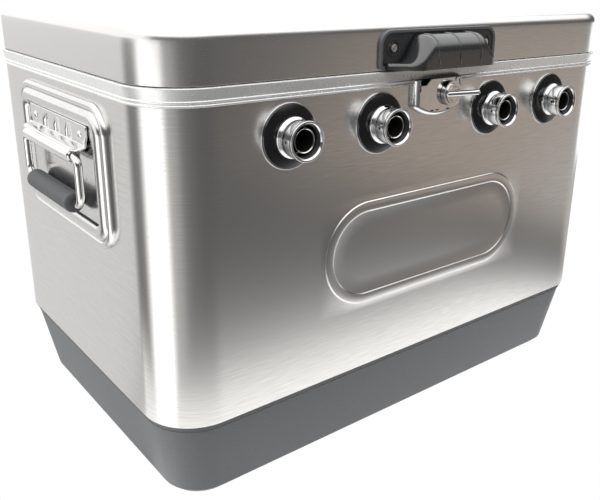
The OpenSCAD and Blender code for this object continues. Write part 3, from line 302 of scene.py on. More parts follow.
def linear(colour: str, alpha: float = 1.0) -> tuple[float, float, float, float]:
    """An sRGB hex colour as the linear values that Blender's sockets take."""
    values = [int(colour.lstrip("#")[i:i + 2], 16) / 255 for i in (0, 2, 4)]
    flat = [v / 12.92 if v <= 0.04045 else ((v + 0.055) / 1.055) ** 2.4 for v in values]
    return flat[0], flat[1], flat[2], alpha


def add_node(tree: bpy.types.NodeTree, kind: str, inputs: dict[Any, Any] | None = None,
             **settings: Any) -> bpy.types.Node:
    """Adds a node with its settings; an input is a constant, or another node's output to link.

    Args:
        tree: The node tree.
        kind: The node's type name.
        inputs: Socket name or number to value or output socket.
        settings: The node's own properties.

    Returns:
        The new node.
    """
    made = tree.nodes.new(kind)
    for key, value in settings.items():
        setattr(made, key, value)
    for key, value in (inputs or {}).items():
        if isinstance(value, bpy.types.NodeSocket):
            tree.links.new(value, made.inputs[key])
        else:
            made.inputs[key].default_value = value
    return made


def empty_material(name: str) -> bpy.types.Material:
    """A new material whose node tree is empty."""
    mat = bpy.data.materials.new(name)
    mat.use_nodes = True
    mat.node_tree.nodes.clear()
    return mat


@dataclass(frozen=True)
class Finish:
    """One real finish: two tones of its colour, its gloss and a pattern of real size."""

    name: str
    slot: str
    colour: str
    shade: str
    metallic: float
    roughness: tuple[float, float]
    grain_mm: tuple[float, float, float]
    relief_mm: float = 0.0
    contrast: float = 1.0
    cloud_mm: float = 60.0
    cloud_gloss: float = 0.0
    anisotropy: float = 0.0
    coat: float = 0.0
    coat_roughness: float = 0.05
    ior: float = 1.5
    transmission: float = 0.0

    def material(self) -> bpy.types.Material:
        """The finish as a Blender material, made once."""
        found = bpy.data.materials.get(self.name)
        if found:
            return found
        mat = empty_material(self.name)
        tree = mat.node_tree
        place = add_node(tree, "ShaderNodeTexCoord").outputs["Object"]
        scale = tuple(1 / (MM * g) for g in self.grain_mm)
        spot = add_node(tree, "ShaderNodeMapping", {"Vector": place, "Scale": scale})
        grain = add_node(tree, "ShaderNodeTexNoise", {
            "Vector": spot.outputs[0], "Scale": 1.0, "Detail": 4.0, "Roughness": 0.6})
        cloud = add_node(tree, "ShaderNodeTexNoise", {
            "Vector": place, "Scale": 1 / (MM * self.cloud_mm), "Detail": 2.0})
        spread = add_node(tree, "ShaderNodeMapRange", {
            "Value": grain.outputs["Fac"], "From Min": 0.5 - 0.2 / self.contrast,
            "From Max": 0.5 + 0.2 / self.contrast})
        tone = add_node(tree, "ShaderNodeMix", {
            0: spread.outputs[0], 6: linear(self.colour), 7: linear(self.shade)}, data_type="RGBA")
        gloss = add_node(tree, "ShaderNodeMapRange", {
            "Value": grain.outputs["Fac"], "From Min": 0.3, "From Max": 0.7,
            "To Min": self.roughness[0], "To Max": self.roughness[1]})
        rough = add_node(tree, "ShaderNodeMath", {
            0: cloud.outputs["Fac"], 1: self.cloud_gloss, 2: gloss.outputs[0]},
            operation="MULTIPLY_ADD")
        shader = add_node(tree, "ShaderNodeBsdfPrincipled", {
            "Base Color": tone.outputs[2], "Roughness": rough.outputs[0], "Metallic": self.metallic,
            "IOR": self.ior, "Coat Weight": self.coat, "Coat Roughness": self.coat_roughness,
            "Transmission Weight": self.transmission, "Anisotropic": self.anisotropy})
        if self.anisotropy:
            shader.inputs["Anisotropic Rotation"].default_value = 0.25
            tangent = add_node(tree, "ShaderNodeTangent", direction_type="RADIAL", axis="Z")
            tree.links.new(tangent.outputs[0], shader.inputs["Tangent"])
        if self.relief_mm:
            bump = add_node(tree, "ShaderNodeBump", {
                "Height": grain.outputs["Fac"], "Strength": 1.0, "Distance": self.relief_mm * MM})
            tree.links.new(bump.outputs[0], shader.inputs["Normal"])
        add_node(tree, "ShaderNodeOutputMaterial", {"Surface": shader.outputs[0]})
        return mat


# Stainless sheet brushed along the wall. Its lines lie some tenths of a millimetre apart, which is
# too fine to show, so they are drawn just under 1 mm apart and 24 mm long.
BODY_STEEL = Finish("stainless_brushed_round_body", "brushed_steel", "#dedcd9", "#d3d1ce", 1.0,
                    (0.17, 0.24), (24, 24, 0.8), 0.0016, 1.0, 120, 0.04, 0.5)
# The lid's sheet is brushed from side to side, so its lines run along X on the top as well
LID_STEEL = Finish("stainless_brushed_lid", "brushed_steel", "#dfdddb", "#d5d3d0", 1.0,
                   (0.18, 0.26), (24, 0.8, 0.8), 0.0016, 1.0, 120, 0.04, 0.4)
# Pressed and tumbled stainless: near mirror, with a faint orange peel
BRIGHT_STEEL = Finish("stainless_polished", "polished_steel", "#e2e1df", "#dad9d7", 1.0,
                      (0.05, 0.1), (5, 5, 5), 0.004, 1.0, 30, 0.03)
# The same sheet where it is pressed deep, which leaves it satin
SATIN_STEEL = Finish("stainless_pressed_satin", "polished_steel", "#d9d8d6", "#d0cfcd", 1.0,
                     (0.13, 0.19), (5, 5, 5), 0.004, 1.0, 30, 0.03)
# Bright-annealed band sheet under a clear satin lacquer, which scatters part of the light
BAND_STEEL = Finish("stainless_band_lacquered", "polished_steel", "#f1f1f0", "#ebebea", 0.45,
                    (0.2, 0.28), (5, 5, 5), 0.003, 1.0, 30, 0.03)
# Nickel and chrome over turned brass: sharp reflections, slightly blue
CHROME = Finish("chrome_over_brass", "chromed_brass", "#dfe0e1", "#d7d8d9", 1.0,
                (0.04, 0.08), (4, 4, 4), 0.003, 1.0, 20, 0.03)
# Glossy moulded nylon
BLACK_NYLON = Finish("nylon_moulded_gloss_black", "black_plastic", "#0b0b0c", "#111112", 0.0,
                     (0.08, 0.14), (1.4, 1.4, 1.4), 0.006, 1.0, 12, 0.04, ior=1.7)
# Painted shade: a dull near-black for the nut's thread and spanner holes, the shank's socket and the inside
# of the latch housing, where shade falls
PAINTED_SHADE = Finish("brass_thread_oxidised", "chromed_brass", "#1d1b1a", "#252220", 0.0,
                     (0.35, 0.5), (1.2, 1.2, 1.2), 0.01, 1.0, 12, 0.05)
# ABS with a fine spark-eroded texture
CHARCOAL_ABS = Finish("abs_moulded_charcoal", "charcoal_plastic", "#303133", "#38393b", 0.0,
                      (0.22, 0.3), (1.2, 1.2, 1.2), 0.012, 1.0, 25, 0.05)
# The same ABS where the mould is polished
CHARCOAL_GLOSS = Finish("abs_moulded_charcoal_gloss", "charcoal_plastic", "#232426", "#2a2b2d", 0.0,
                        (0.19, 0.26), (1.2, 1.2, 1.2), 0.008, 1.0, 25, 0.05, ior=2.0)
# A lighter grey for the pull's rim: a painted highlight of its rounded edge
CHARCOAL_PAINTED_HIGHLIGHT = Finish("abs_moulded_charcoal_edge", "charcoal_plastic", "#67696b", "#5f6163", 0.0,
                       (0.22, 0.3), (1.2, 1.2, 1.2), 0.01, 1.0, 25, 0.05)
# Structural polypropylene with a satin moulded skin
GREY_BASE = Finish("polypropylene_moulded_grey", "grey_plastic", "#696a6d", "#606264", 0.0,
                   (0.42, 0.52), (1.6, 1.6, 1.6), 0.025, 1.0, 90, 0.06)
# Injection-moulded white polystyrene
WHITE_LINER = Finish("polystyrene_moulded_white", "white_plastic", "#eeeeec", "#e6e6e3", 0.0,
                     (0.2, 0.3), (2.5, 2.5, 2.5), 0.01, 1.0, 60, 0.05)
# Rigid polyurethane foam, open where it is cut
FOAM = Finish("polyurethane_rigid_foam", "foam", "#e6d7a4", "#d4c387", 0.0,
              (0.8, 0.95), (2.2, 2.2, 2.2), 0.25, 1.4)
# Extruded synthetic rubber with a dry bloom
GREY_RUBBER = Finish("rubber_extruded_grey", "grey_rubber", "#626365", "#58595b", 0.0,
                     (0.55, 0.68), (1.1, 1.1, 1.1), 0.03, 1.0, 20, 0.06)
BLACK_RUBBER = Finish("rubber_moulded_black", "black_rubber", "#1b1b1c", "#232324", 0.0,
                      (0.55, 0.7), (1.0, 1.0, 1.0), 0.03)
VINYL = Finish("vinyl_extruded_gasket", "gasket_vinyl", "#c9c9c6", "#bebebb", 0.0,
               (0.45, 0.55), (2.0, 2.0, 2.0), 0.03)
# Translucent polyethylene tube
TUBE_PLASTIC = Finish("polyethylene_beer_tube", "line_plastic", "#dfe6ea", "#d3dbe0", 0.0,
                      (0.2, 0.3), (6, 6, 6), 0.01, 1.0, 40, 0.05, transmission=0.35)
# Sand-cast aluminium: grains of the sand show as small pits
CAST_ALUMINIUM = Finish("aluminium_sand_cast", "cast_aluminium", "#b9babc", "#a4a5a8", 1.0,
                        (0.42, 0.6), (1.3, 1.3, 1.3), 0.08, 1.2, 40, 0.08)
FINISHES = (BODY_STEEL, BRIGHT_STEEL, CHROME, BLACK_NYLON, CHARCOAL_ABS, GREY_BASE, WHITE_LINER, FOAM,
            GREY_RUBBER, BLACK_RUBBER, VINYL, TUBE_PLASTIC, CAST_ALUMINIUM)
BY_SLOT = {f.slot: f for f in FINISHES}


# ---------------------------------------------------------------- pieces


def tidy_mesh(mesh: bpy.types.Mesh, sharp: float, outward: bool) -> None:
    """Merges doubled points, turns the faces outwards and marks the sharp edges.

    Args:
        mesh: The mesh to change.
        sharp: Edges that turn by more than this angle in degrees are marked.
        outward: Whether to work out anew which way the faces point.
    """
    work = bmesh.new()
    work.from_mesh(mesh)
    bmesh.ops.remove_doubles(work, verts=work.verts, dist=WELD)
    bmesh.ops.dissolve_degenerate(work, edges=work.edges, dist=WELD / 4)
    if outward:
        bmesh.ops.recalc_face_normals(work, faces=work.faces)
    work.to_mesh(mesh)
    work.free()
    mesh.polygons.foreach_set("use_smooth", np.ones(len(mesh.polygons), bool))
    mesh.set_sharp_from_angle(angle=math.radians(sharp))
    mesh.update()


def register(piece: bpy.types.Object, finish: Finish, body: str, nodes: Iterable[str]) -> bpy.types.Object:
    """Gives a piece its finish, its body and the CAD nodes that it stands for.

    Args:
        piece: The new piece.
        finish: Its finish.
        body: The CAD body that it moves with.
        nodes: The CAD nodes that it stands for.

    Returns:
        The same piece.
    """
    piece.data.materials.clear()
    piece.data.materials.append(finish.material())
    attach(piece, body)
    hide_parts(*nodes)
    log.info("%s on %s: %d faces", piece.name, body, len(piece.data.polygons))
    return piece


def make_piece(name: str, skin: Skin, finish: Finish, body: str, nodes: Iterable[str] = (),
               sharp: float = 32.0, wall: float = 0.0) -> bpy.types.Object:
    """Makes a piece of a skin.

    Args:
        name: The piece's name.
        skin: Its points in millimetres and its quads.
        finish: Its finish.
        body: The CAD body that it moves with.
        nodes: The CAD nodes that it stands for.
        sharp: Edges that turn by more than this angle stay sharp.
        wall: Sheet thickness to add inwards, or 0 for a closed skin.

    Returns:
        The Blender object.
    """
    points = np.concatenate(skin.points).astype(np.float32) * MM
    quads = np.concatenate(skin.quads).astype(np.int32)
    mesh = bpy.data.meshes.new(name)
    mesh.vertices.add(len(points))
    mesh.vertices.foreach_set("co", points.ravel())
    mesh.loops.add(quads.size)
    mesh.loops.foreach_set("vertex_index", quads.ravel())
    mesh.polygons.add(len(quads))
    mesh.polygons.foreach_set("loop_start", np.arange(0, quads.size, 4, dtype=np.int32))
    mesh.update(calc_edges=True)
    tidy_mesh(mesh, sharp, outward=True)
    piece = bpy.data.objects.new(name, mesh)
    bpy.context.scene.collection.objects.link(piece)
    if wall:
        sheet = piece.modifiers.new("sheet", "SOLIDIFY")
        sheet.thickness, sheet.offset = wall * MM, -1.0
    return register(piece, finish, body, nodes)


def smooth_node(frame: dict[str, Any], node: str, finish: Finish, sharp: float = 32.0) -> bpy.types.Object:
    """A merged copy of a CAD node's mesh with smooth round faces, which stands for that node.

    Args:
        frame: The loaded frame.
        node: The CAD node's name.
        finish: The copy's finish.
        sharp: Edges that turn by more than this angle stay sharp.

    Returns:
        The Blender object.
    """
    source = frame["nodes"][node]
    mesh = source.data.copy()
    mesh.name = node + "_smooth"
    if "custom_normal" in mesh.attributes:
        mesh.attributes.remove(mesh.attributes["custom_normal"])
    tidy_mesh(mesh, sharp, outward=False)
    piece = bpy.data.objects.new(node + "_finished", mesh)
    bpy.context.scene.collection.objects.link(piece)
    return register(piece, finish, source["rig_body"], [node])


BODY_W = 600.0
"""Width of the steel body, in millimetres as all sizes here."""

BODY_D = 392.0
"""Depth of the steel body."""

BODY_CORNER = 51.0
"""Radius of the body's upright corners."""

CORNER_STEPS = 28
"""Steps in each quarter turn of the body's outline."""

SHELL_TOP = 371.0
"""Height at which the steel wall ends and the rim band begins."""

FRONT_Y = -BODY_D / 2
"""Place of the front wall's outer face."""

TAP_XS = (-177.0, -74.0, 82.0, 185.0)
"""Places of the four taps along the front."""

TAP_Z = 339.0
"""Height of the four taps."""

FACING_FRONT = np.array([[1.0, 0.0, 0.0], [0.0, 0.0, -1.0], [0.0, 1.0, 0.0]])
"""Turns a form drawn along +Z so that it looks along -Y; its own +Y becomes +Z."""

ALONG_Y = np.array([[1.0, 0.0, 0.0], [0.0, 0.0, 1.0], [0.0, -1.0, 0.0]])
"""Turns a form drawn along +Z so that it lies along +Y."""


def body_stations(width: float, depth: float, radius: float) -> tuple[Array, Array]:
    """Stations round an outline of the body's kind, evenly spaced along each of its sides.

    Args:
        width: Size along X.
        depth: Size along Y.
        radius: Corner radius.

    Returns:
        Feet and outward directions, as rounded_stations gives them.
    """
    a, b = width / 2 - radius, depth / 2 - radius
    along_w, along_d = np.linspace(-a, a, 25), np.linspace(-b, b, 15)
    return rounded_stations(width, depth, radius, CORNER_STEPS, along_w, along_d)


class Side(Enum):
    """The two ends of the cooler."""

    LEFT = -1
    RIGHT = 1

    @property
    def label(self) -> str:
        """The side's name as the CAD nodes use it."""
        return self.name.lower()


@dataclass
class Block:
    """A patch of the front or back wall that gets its own rings of faces."""

    back: bool
    x0: float
    x1: float
    z0: float
    z1: float
    centre: tuple[float, float]
    half_line: float
    radius: float
    rings: tuple[tuple[float, float], ...]
    closed: bool


@dataclass
class SteelBody:
    """The wrapped steel wall with its pressed stadium frame and the holes for taps and inlets."""

    width: float = BODY_W
    depth: float = BODY_D
    bottom: float = 88.0
    top: float = SHELL_TOP
    corner: float = BODY_CORNER
    sheet: float = 0.8
    tap_xs: tuple[float, ...] = TAP_XS
    tap_z: float = TAP_Z
    tap_hole: float = 11.3
    inlet_z: float = 300.0
    inlet_hole: float = 9.3
    frame_x: tuple[float, float] = (-136.5, 147.0)
    frame_z: tuple[float, float] = (159.0, 265.5)
    frame_band: float = 11.5
    frame_step: float = 2.0
    frame_height: float = 1.1
    slot_x: tuple[float, float] = (-28.5, -6.5)
    slot_drop: tuple[float, float] = (6.5, 0.5)
    tap_patch: float = 16.0
    inlet_patch: float = 13.0
    frame_margin: float = 6.0

    def frame_rise(self, inward: Array) -> Array:
        """Height of the pressed band: a smooth step up at its outer edge and down at its inner one."""
        up = smooth_step(inward / self.frame_step)
        down = smooth_step((inward - self.frame_band + self.frame_step) / self.frame_step)
        return self.frame_height * (up - down)

    def blocks(self) -> list[Block]:
        """The patches of the wall: one for each tap and inlet, and one for the stadium frame."""
        out = []
        t, n, m = self.tap_patch, self.inlet_patch, self.frame_margin
        for x in self.tap_xs:
            out.append(Block(False, x - t, x + t, self.tap_z - t, self.tap_z + t,
                             (x, self.tap_z), 0.0, self.tap_hole, ((0.0, 0.0),), False))
            out.append(Block(True, x - n, x + n, self.inlet_z - n, self.inlet_z + n,
                             (x, self.inlet_z), 0.0, self.inlet_hole, ((0.0, 0.0),), False))
        (x0, x1), (z0, z1) = self.frame_x, self.frame_z
        radius = (z1 - z0) / 2
        inward = np.concatenate([np.linspace(0, self.frame_step, 7),
                                 np.linspace(self.frame_band - self.frame_step, self.frame_band, 7)])
        rings = tuple((-float(d), float(self.frame_rise(d))) for d in inward)
        out.append(Block(False, x0 - m, x1 + m, z0 - m, z1 + m, ((x0 + x1) / 2, (z0 + z1) / 2),
                         (x1 - x0) / 2 - radius, radius, rings, True))
        return out

    def lines(self, blocks: list[Block]) -> tuple[Array, Array]:
        """Places of the wall's grid lines along X and Z: block edges, with even steps between.

        Args:
            blocks: The patches whose edges the lines take in.

        Returns:
            The places along X and those along Z.
        """
        a = self.width / 2 - self.corner
        marks_x = {-a, a, *self.slot_x}
        marks_z = {self.bottom, self.bottom + 0.5, self.top, *(self.top - d for d in self.slot_drop)}
        for b in blocks:
            marks_x |= {b.x0, b.x1}
            marks_z |= {b.z0, b.z1}

        def fill(marks: set[float], step: float) -> Array:
            """The marks in order, without near doubles, and even steps of about this size between."""
            edges = np.array(sorted(marks))
            edges = edges[np.concatenate([[True], np.diff(edges) > 0.4])]
            parts = [np.linspace(p, q, max(1, round((q - p) / step)) + 1)[:-1]
                     for p, q in zip(edges[:-1], edges[1:])]
            return np.concatenate(parts + [edges[-1:]])
        return fill(marks_x, 5.0), fill(marks_z, 4.5)

    def patch(self, skin: Skin, b: Block, xs: Array, zs: Array) -> None:
        """Rings from a block's square edge to its hole or frame.

        An edge point looks from the nearest point of the block's middle line, and the ring point
        lies that way at the ring's distance.

        Args:
            skin: The wall's skin, which takes the rings in.
            b: The patch.
            xs: Places of the grid lines along X.
            zs: Places of the grid lines along Z.
        """
        wall_y = self.depth / 2 if b.back else -self.depth / 2
        out = 1.0 if b.back else -1.0
        ex = xs[(xs >= b.x0 - 0.3) & (xs <= b.x1 + 0.3)]
        ez = zs[(zs >= b.z0 - 0.3) & (zs <= b.z1 + 0.3)]
        edge = np.concatenate([
            np.stack([ex, np.full_like(ex, ez[0])], 1), np.stack([np.full_like(ez, ex[-1]), ez], 1)[1:],
            np.stack([ex[::-1], np.full_like(ex, ez[-1])], 1)[1:],
            np.stack([np.full_like(ez, ex[0]), ez[::-1]], 1)[1:-1]])
        local = edge - np.array(b.centre)
        foot = np.stack([np.clip(local[:, 0], -b.half_line, b.half_line), np.zeros(len(local))], 1)
        way = (local - foot) / np.linalg.norm(local - foot, axis=1)[:, None]
        flats = [local] + [foot + way * (b.radius + d) for d, _ in b.rings]
        rises = [0.0] + [h for _, h in b.rings]
        if b.closed:
            flats += [foot + way * b.radius * 0.5, foot]
            rises += [0.0, 0.0]
        grid = np.zeros((len(flats), len(edge), 3))
        grid[..., [0, 2]] = np.stack(flats) + np.array(b.centre)
        grid[..., 1] = wall_y + out * np.array(rises)[:, None]
        skin.add_grid(grid, close_cols=True)

    def build(self) -> bpy.types.Object:
        """The wall as one sheet: a grid round the body whose blocks are replaced by ring patches."""
        blocks = self.blocks()
        xs, zs = self.lines(blocks)
        b = self.depth / 2 - self.corner
        feet, ways = rounded_stations(self.width, self.depth, self.corner, CORNER_STEPS, xs,
                                      np.linspace(-b, b, 15))
        profile = np.stack([np.full_like(zs, self.corner), zs], 1)
        grid = sweep_round(feet, ways, profile)
        quads = grid_quads(len(zs), len(feet), close_cols=True)
        middle = grid.reshape(-1, 3)[quads].mean(1)
        keep = np.ones(len(quads), bool)
        for k in blocks:
            wall = self.depth / 2 if k.back else -self.depth / 2
            inside = ((np.abs(middle[:, 1] - wall) < 0.01) & (middle[:, 0] > k.x0) & (middle[:, 0] < k.x1)
                      & (middle[:, 2] > k.z0) & (middle[:, 2] < k.z1))
            keep &= ~inside
        low, high = (self.top - d for d in self.slot_drop)
        slot = ((np.abs(middle[:, 1] + self.depth / 2) < 0.01) & (middle[:, 2] > low)
                & (middle[:, 0] > self.slot_x[0]) & (middle[:, 0] < self.slot_x[1])
                & (middle[:, 2] < high))
        keep &= ~slot
        skin = Skin().add(grid, quads[keep])
        for k in blocks:
            self.patch(skin, k, xs, zs)
        return make_piece("steel_body", skin, BODY_STEEL, "cooler", ["outer_shell"], wall=self.sheet)


@dataclass
class SteelLid:
    """The lid's drawn steel cover with its rolled top edge."""

    width: float = BODY_W
    depth: float = BODY_D
    bottom: float = 387.0
    top: float = 431.0
    corner: float = BODY_CORNER
    roll: float = 10.0
    sheet: float = 0.8

    def build(self) -> bpy.types.Object:
        """The cover: wall, quarter roll and flat top carried round the outline."""
        feet, ways = body_stations(self.width, self.depth, self.corner)
        wall = np.array([[self.corner, self.bottom], [self.corner, self.bottom + 0.25],
                         [self.corner, self.bottom + 12], [self.corner, self.top - self.roll - 4]])
        bend = arc((self.corner - self.roll, self.top - self.roll), self.roll, 0, 90, 12)
        skin = Skin().add_grid(sweep_round(feet, ways, np.concatenate([wall, bend])), close_cols=True)
        skin.add_grid(fill_round(feet, ways, self.corner - self.roll, self.top), close_cols=True)
        return make_piece("steel_lid", skin, LID_STEEL, "lid", ["lid_shell"], wall=self.sheet)


@dataclass
class RimTrim:
    """The polished steel band round the liner's rim, with two fine beads along its lower edge."""

    width: float = BODY_W + 3.0
    depth: float = BODY_D + 3.0
    bottom: float = SHELL_TOP
    corner: float = BODY_CORNER + 1.5

    def build(self) -> bpy.types.Object:
        """A closed section carried round: bead, groove, bead, a face that looks down, rolled top edge."""
        feet, ways = body_stations(self.width, self.depth, self.corner)
        section = np.array([
            [-0.78, 0.0], [-0.3, 0.1], [-0.05, 0.45], [0.0, 1.0], [-0.1, 1.5], [-0.4, 1.95], [-0.72, 2.2],
            [-0.74, 2.7], [-0.45, 3.0], [-0.1, 3.4], [0.0, 4.0], [-0.1, 4.6], [-0.42, 5.0], [-0.74, 5.25],
            [-0.74, 5.6], [-0.68, 5.9], [-0.42, 7.0], [-0.09, 8.5], [0.22, 10.0], [0.51, 11.5],
            [0.78, 13.0], [0.92, 13.8], [0.95, 14.3], [0.82, 14.7], [0.45, 14.95], [-0.1, 15.0],
            [-0.78, 15.0]])
        profile = section + np.array([self.corner, self.bottom])
        skin = Skin().add_grid(sweep_round(feet, ways, profile), close_rows=True, close_cols=True)
        return make_piece("steel_rim_trim", skin, BAND_STEEL, "cooler", ["rim_trim"], sharp=40)


@dataclass
class BaseBead:
    """The fine moulded line that runs round the base under the shell's edge."""

    top_size: tuple[float, float, float] = (594.0, 386.0, 48.0)
    foot_size: tuple[float, float, float] = (564.0, 356.0, 39.0)
    top_z: float = 85.0
    foot_z: float = 7.0
    line_z: float = 80.0

    def build(self) -> bpy.types.Object:
        """Rings at a few heights; each outline lies between the base's top and foot outlines."""
        rows = []
        for dz, out in ((1.5, -0.3), (1.2, 0.35), (0.7, 0.6), (0.0, 0.6), (-0.5, 0.35), (-0.8, -0.3)):
            z = self.line_z + dz
            t = (self.top_z - z) / (self.top_z - self.foot_z)
            w, d, r = ((1 - t) * p + t * q for p, q in zip(self.top_size, self.foot_size))
            feet, ways = rounded_stations(w, d, r, 20)
            rows.append(sweep_round(feet, ways, np.array([[r + out, z]]))[0])
        skin = Skin().add_grid(np.stack(rows), close_rows=True, close_cols=True)
        return make_piece("base_line", skin, GREY_BASE, "cooler", sharp=50)


@dataclass
class Tap:
    """One tap place: wall flange with its bright ring, chromed shank and coupling nut."""

    number: int
    x: float
    front: float = FRONT_Y
    z: float = TAP_Z
    flange_r: float = 28.0
    flange_t: float = 8.0
    flange_edge: float = 2.5
    collar_r: float = 18.0
    collar_sink: float = 2.5
    shank_r: float = 11.0
    nut_out: float = 27.0
    nut_r: float = 16.5
    nut_h: float = 15.0
    bore_r: float = 14.3
    mouth_back: float = 4.5
    neck: float = 13.5
    tail: float = 61.0
    tail_bore: float = 3.2
    thread_from: float = 36.0
    thread_pitch: float = 1.8
    socket_r: float = 9.5
    socket_depth: float = 20.0

    def place(self, profile: Array, steps: int = 72) -> Skin:
        """A profile of (radius, distance out of the wall) turned about the tap's axis."""
        return revolve(profile, steps).turned(FACING_FRONT, (self.x, self.front, self.z))

    def flange(self) -> None:
        """Domed flange: upright edge, then an arc over to the seat of the collar."""
        r, t, e = self.flange_r, self.flange_t, self.flange_edge
        ball = (r * r + (t - e) ** 2) / (2 * (t - e))
        rr = np.linspace(r - 0.6, self.collar_r + 0.5, 14)
        dome = np.stack([rr, e + np.sqrt(ball ** 2 - rr ** 2) - (ball - (t - e))], 1)
        seat = t - self.collar_sink
        profile = np.concatenate([[[self.shank_r + 0.3, 0.0], [r, 0.0], [r, e - 0.6]], dome,
                                  [[self.collar_r + 0.3, dome[-1, 1] - 0.3], [self.collar_r + 0.3, seat],
                                   [self.shank_r + 0.3, seat]]])
        make_piece(f"wall_flange_{self.number}", self.place(profile), BLACK_NYLON, "cooler",
                   [f"tap_flange_{self.number}"])

    def shank(self) -> None:
        """Collar, neck, mouth with its socket, and the threaded tail inside the cooler."""
        seat, neck = self.flange_t - self.collar_sink, self.neck
        face = self.nut_out - self.mouth_back
        end = face - self.socket_depth
        collar = np.concatenate([[[self.collar_r - 0.5, seat], [self.collar_r, seat + 0.6]],
                                 [[self.collar_r, seat + 1.4]],
                                 arc((self.collar_r - 1.2, seat + 2.2), 1.2, 0, 60, 6),
                                 [[16.4, seat + 4.6], [15.6, seat + 5.2], [15.0, seat + 5.5]]])
        tail = self.tail
        turns = np.arange(self.thread_from, tail, self.thread_pitch / 2)
        thread = np.stack([self.shank_r - 0.7 * (np.arange(len(turns)) % 2), -turns], 1)[::-1]
        lip = arc((10.1, face - 0.5), 0.5, 0, 90, 4)
        profile = np.concatenate([
            [[self.tail_bore, end], [self.tail_bore, -tail], [self.shank_r - 1, -tail]], thread,
            [[self.shank_r, -34.0], [self.shank_r, seat]], collar,
            [[self.shank_r, seat + 5.5], [self.shank_r, neck], [10.6, neck + 0.5], [10.6, face - 1.0]],
            lip, [[self.socket_r, face - 0.4], [self.socket_r, end]]])
        make_piece(f"tap_shank_{self.number}", self.place(profile, 64), CHROME, "cooler",
                   [f"shank_{self.number}"], sharp=28)

    def nut(self) -> None:
        """Coupling nut: a plain barrel, a slightly flared lip with a bevelled edge, an open mouth."""
        o0, o1 = self.nut_out - self.nut_h, self.nut_out
        r, bore = self.nut_r, self.bore_r
        body = np.concatenate([arc((r - 0.8, o0 + 0.8), 0.8, -90, 0, 5), [[r, o1 - 4.6]],
                               [[r - 0.15, o1 - 4.3], [r - 0.15, o1 - 3.9], [r + 0.3, o1 - 3.4]],
                               arc((r + 0.4, o1 - 2.2), 0.5, -40, 0, 4), [[r + 0.9, o1 - 1.3]],
                               arc((r + 0.2, o1 - 0.7), 0.7, 0, 90, 5),
                               [[bore + 1.3, o1], [bore + 0.9, o1 - 0.25], [bore, o1 - 1.6]],
                               [[bore, o0 + 3.0], [self.shank_r + 0.5, o0 + 3.0],
                                [self.shank_r + 0.5, o0]]])
        make_piece(f"tap_nut_{self.number}", self.place(body, 96), CHROME, f"nut_{self.number}",
                   [f"coupling_nut_{self.number}"], sharp=28)

    def recess(self) -> None:
        """The nut's thread and spanner holes, and the shank's socket, lined with painted shade where their
        insides fall in shade.
        """
        o0, o1, bore = self.nut_out - self.nut_h + 3.0, self.nut_out - 2.2, self.bore_r
        run = np.arange(o0 + 0.4, o1, 0.6)
        thread = np.stack([bore - 0.1 - 0.45 * (np.arange(len(run)) % 2), run], 1)
        inner = self.shank_r + 0.6
        lining = np.concatenate([[[bore - 0.05, o1], [bore - 0.05, o0 + 0.05], [inner, o0 + 0.05],
                                  [inner, o0 + 0.3], [bore - 0.6, o0 + 0.3]], thread])
        skin = self.place(lining, 64)
        middle = self.nut_out - self.nut_h / 2 - 1.0
        # The four spanner holes are small dark discs: painted shade standing in for the holes
        for turn in range(4):
            a = turn * math.pi / 2
            spot = revolve(np.array([[0.0, 0.0], [0.0, 0.3], [1.3, 0.3], [1.3, 0.0]]), 20)
            c, s = math.cos(a), math.sin(a)
            tip = np.array([[-s, 0.0, c], [0.0, -1.0, 0.0], [c, 0.0, s]])
            foot = np.array([self.x, self.front - middle, self.z]) + tip[:, 2] * (self.nut_r - 0.22)
            skin.joined(spot.turned(tip, foot))
        make_piece(f"tap_thread_{self.number}", skin, PAINTED_SHADE, f"nut_{self.number}", sharp=28)
        # The socket's lining is painted shade for the inside of the shank's mouth
        face = self.nut_out - self.mouth_back
        r, hole, deep = self.socket_r - 0.02, self.tail_bore + 0.1, face - self.socket_depth + 0.1
        socket = np.array([[r, face - 0.6], [r, deep], [hole, deep], [hole, deep + 0.3],
                           [r - 0.28, deep + 0.3], [r - 0.28, face - 0.9]])
        make_piece(f"tap_socket_{self.number}", self.place(socket, 48), PAINTED_SHADE, "cooler", sharp=28)

    def build(self) -> None:
        """All pieces of this tap place."""
        self.flange()
        self.shank()
        self.nut()
        self.recess()


@dataclass
class FlangeRings:
    """The thin bright rings that trim the wall flanges."""

    xs: tuple[float, ...] = TAP_XS

    def build(self) -> None:
        """Four half-round rings as one piece."""
        skin = Skin()
        profile = np.concatenate([[[28.0, 0.0]], arc((28.3, 0.75), 0.7, -60, 120, 10), [[28.0, 1.4]]])
        for x in self.xs:
            skin.joined(revolve(profile, 80).turned(FACING_FRONT, (x, FRONT_Y, TAP_Z)))
        make_piece("bright_rings", skin, CHROME, "cooler", ["flange_rings"])


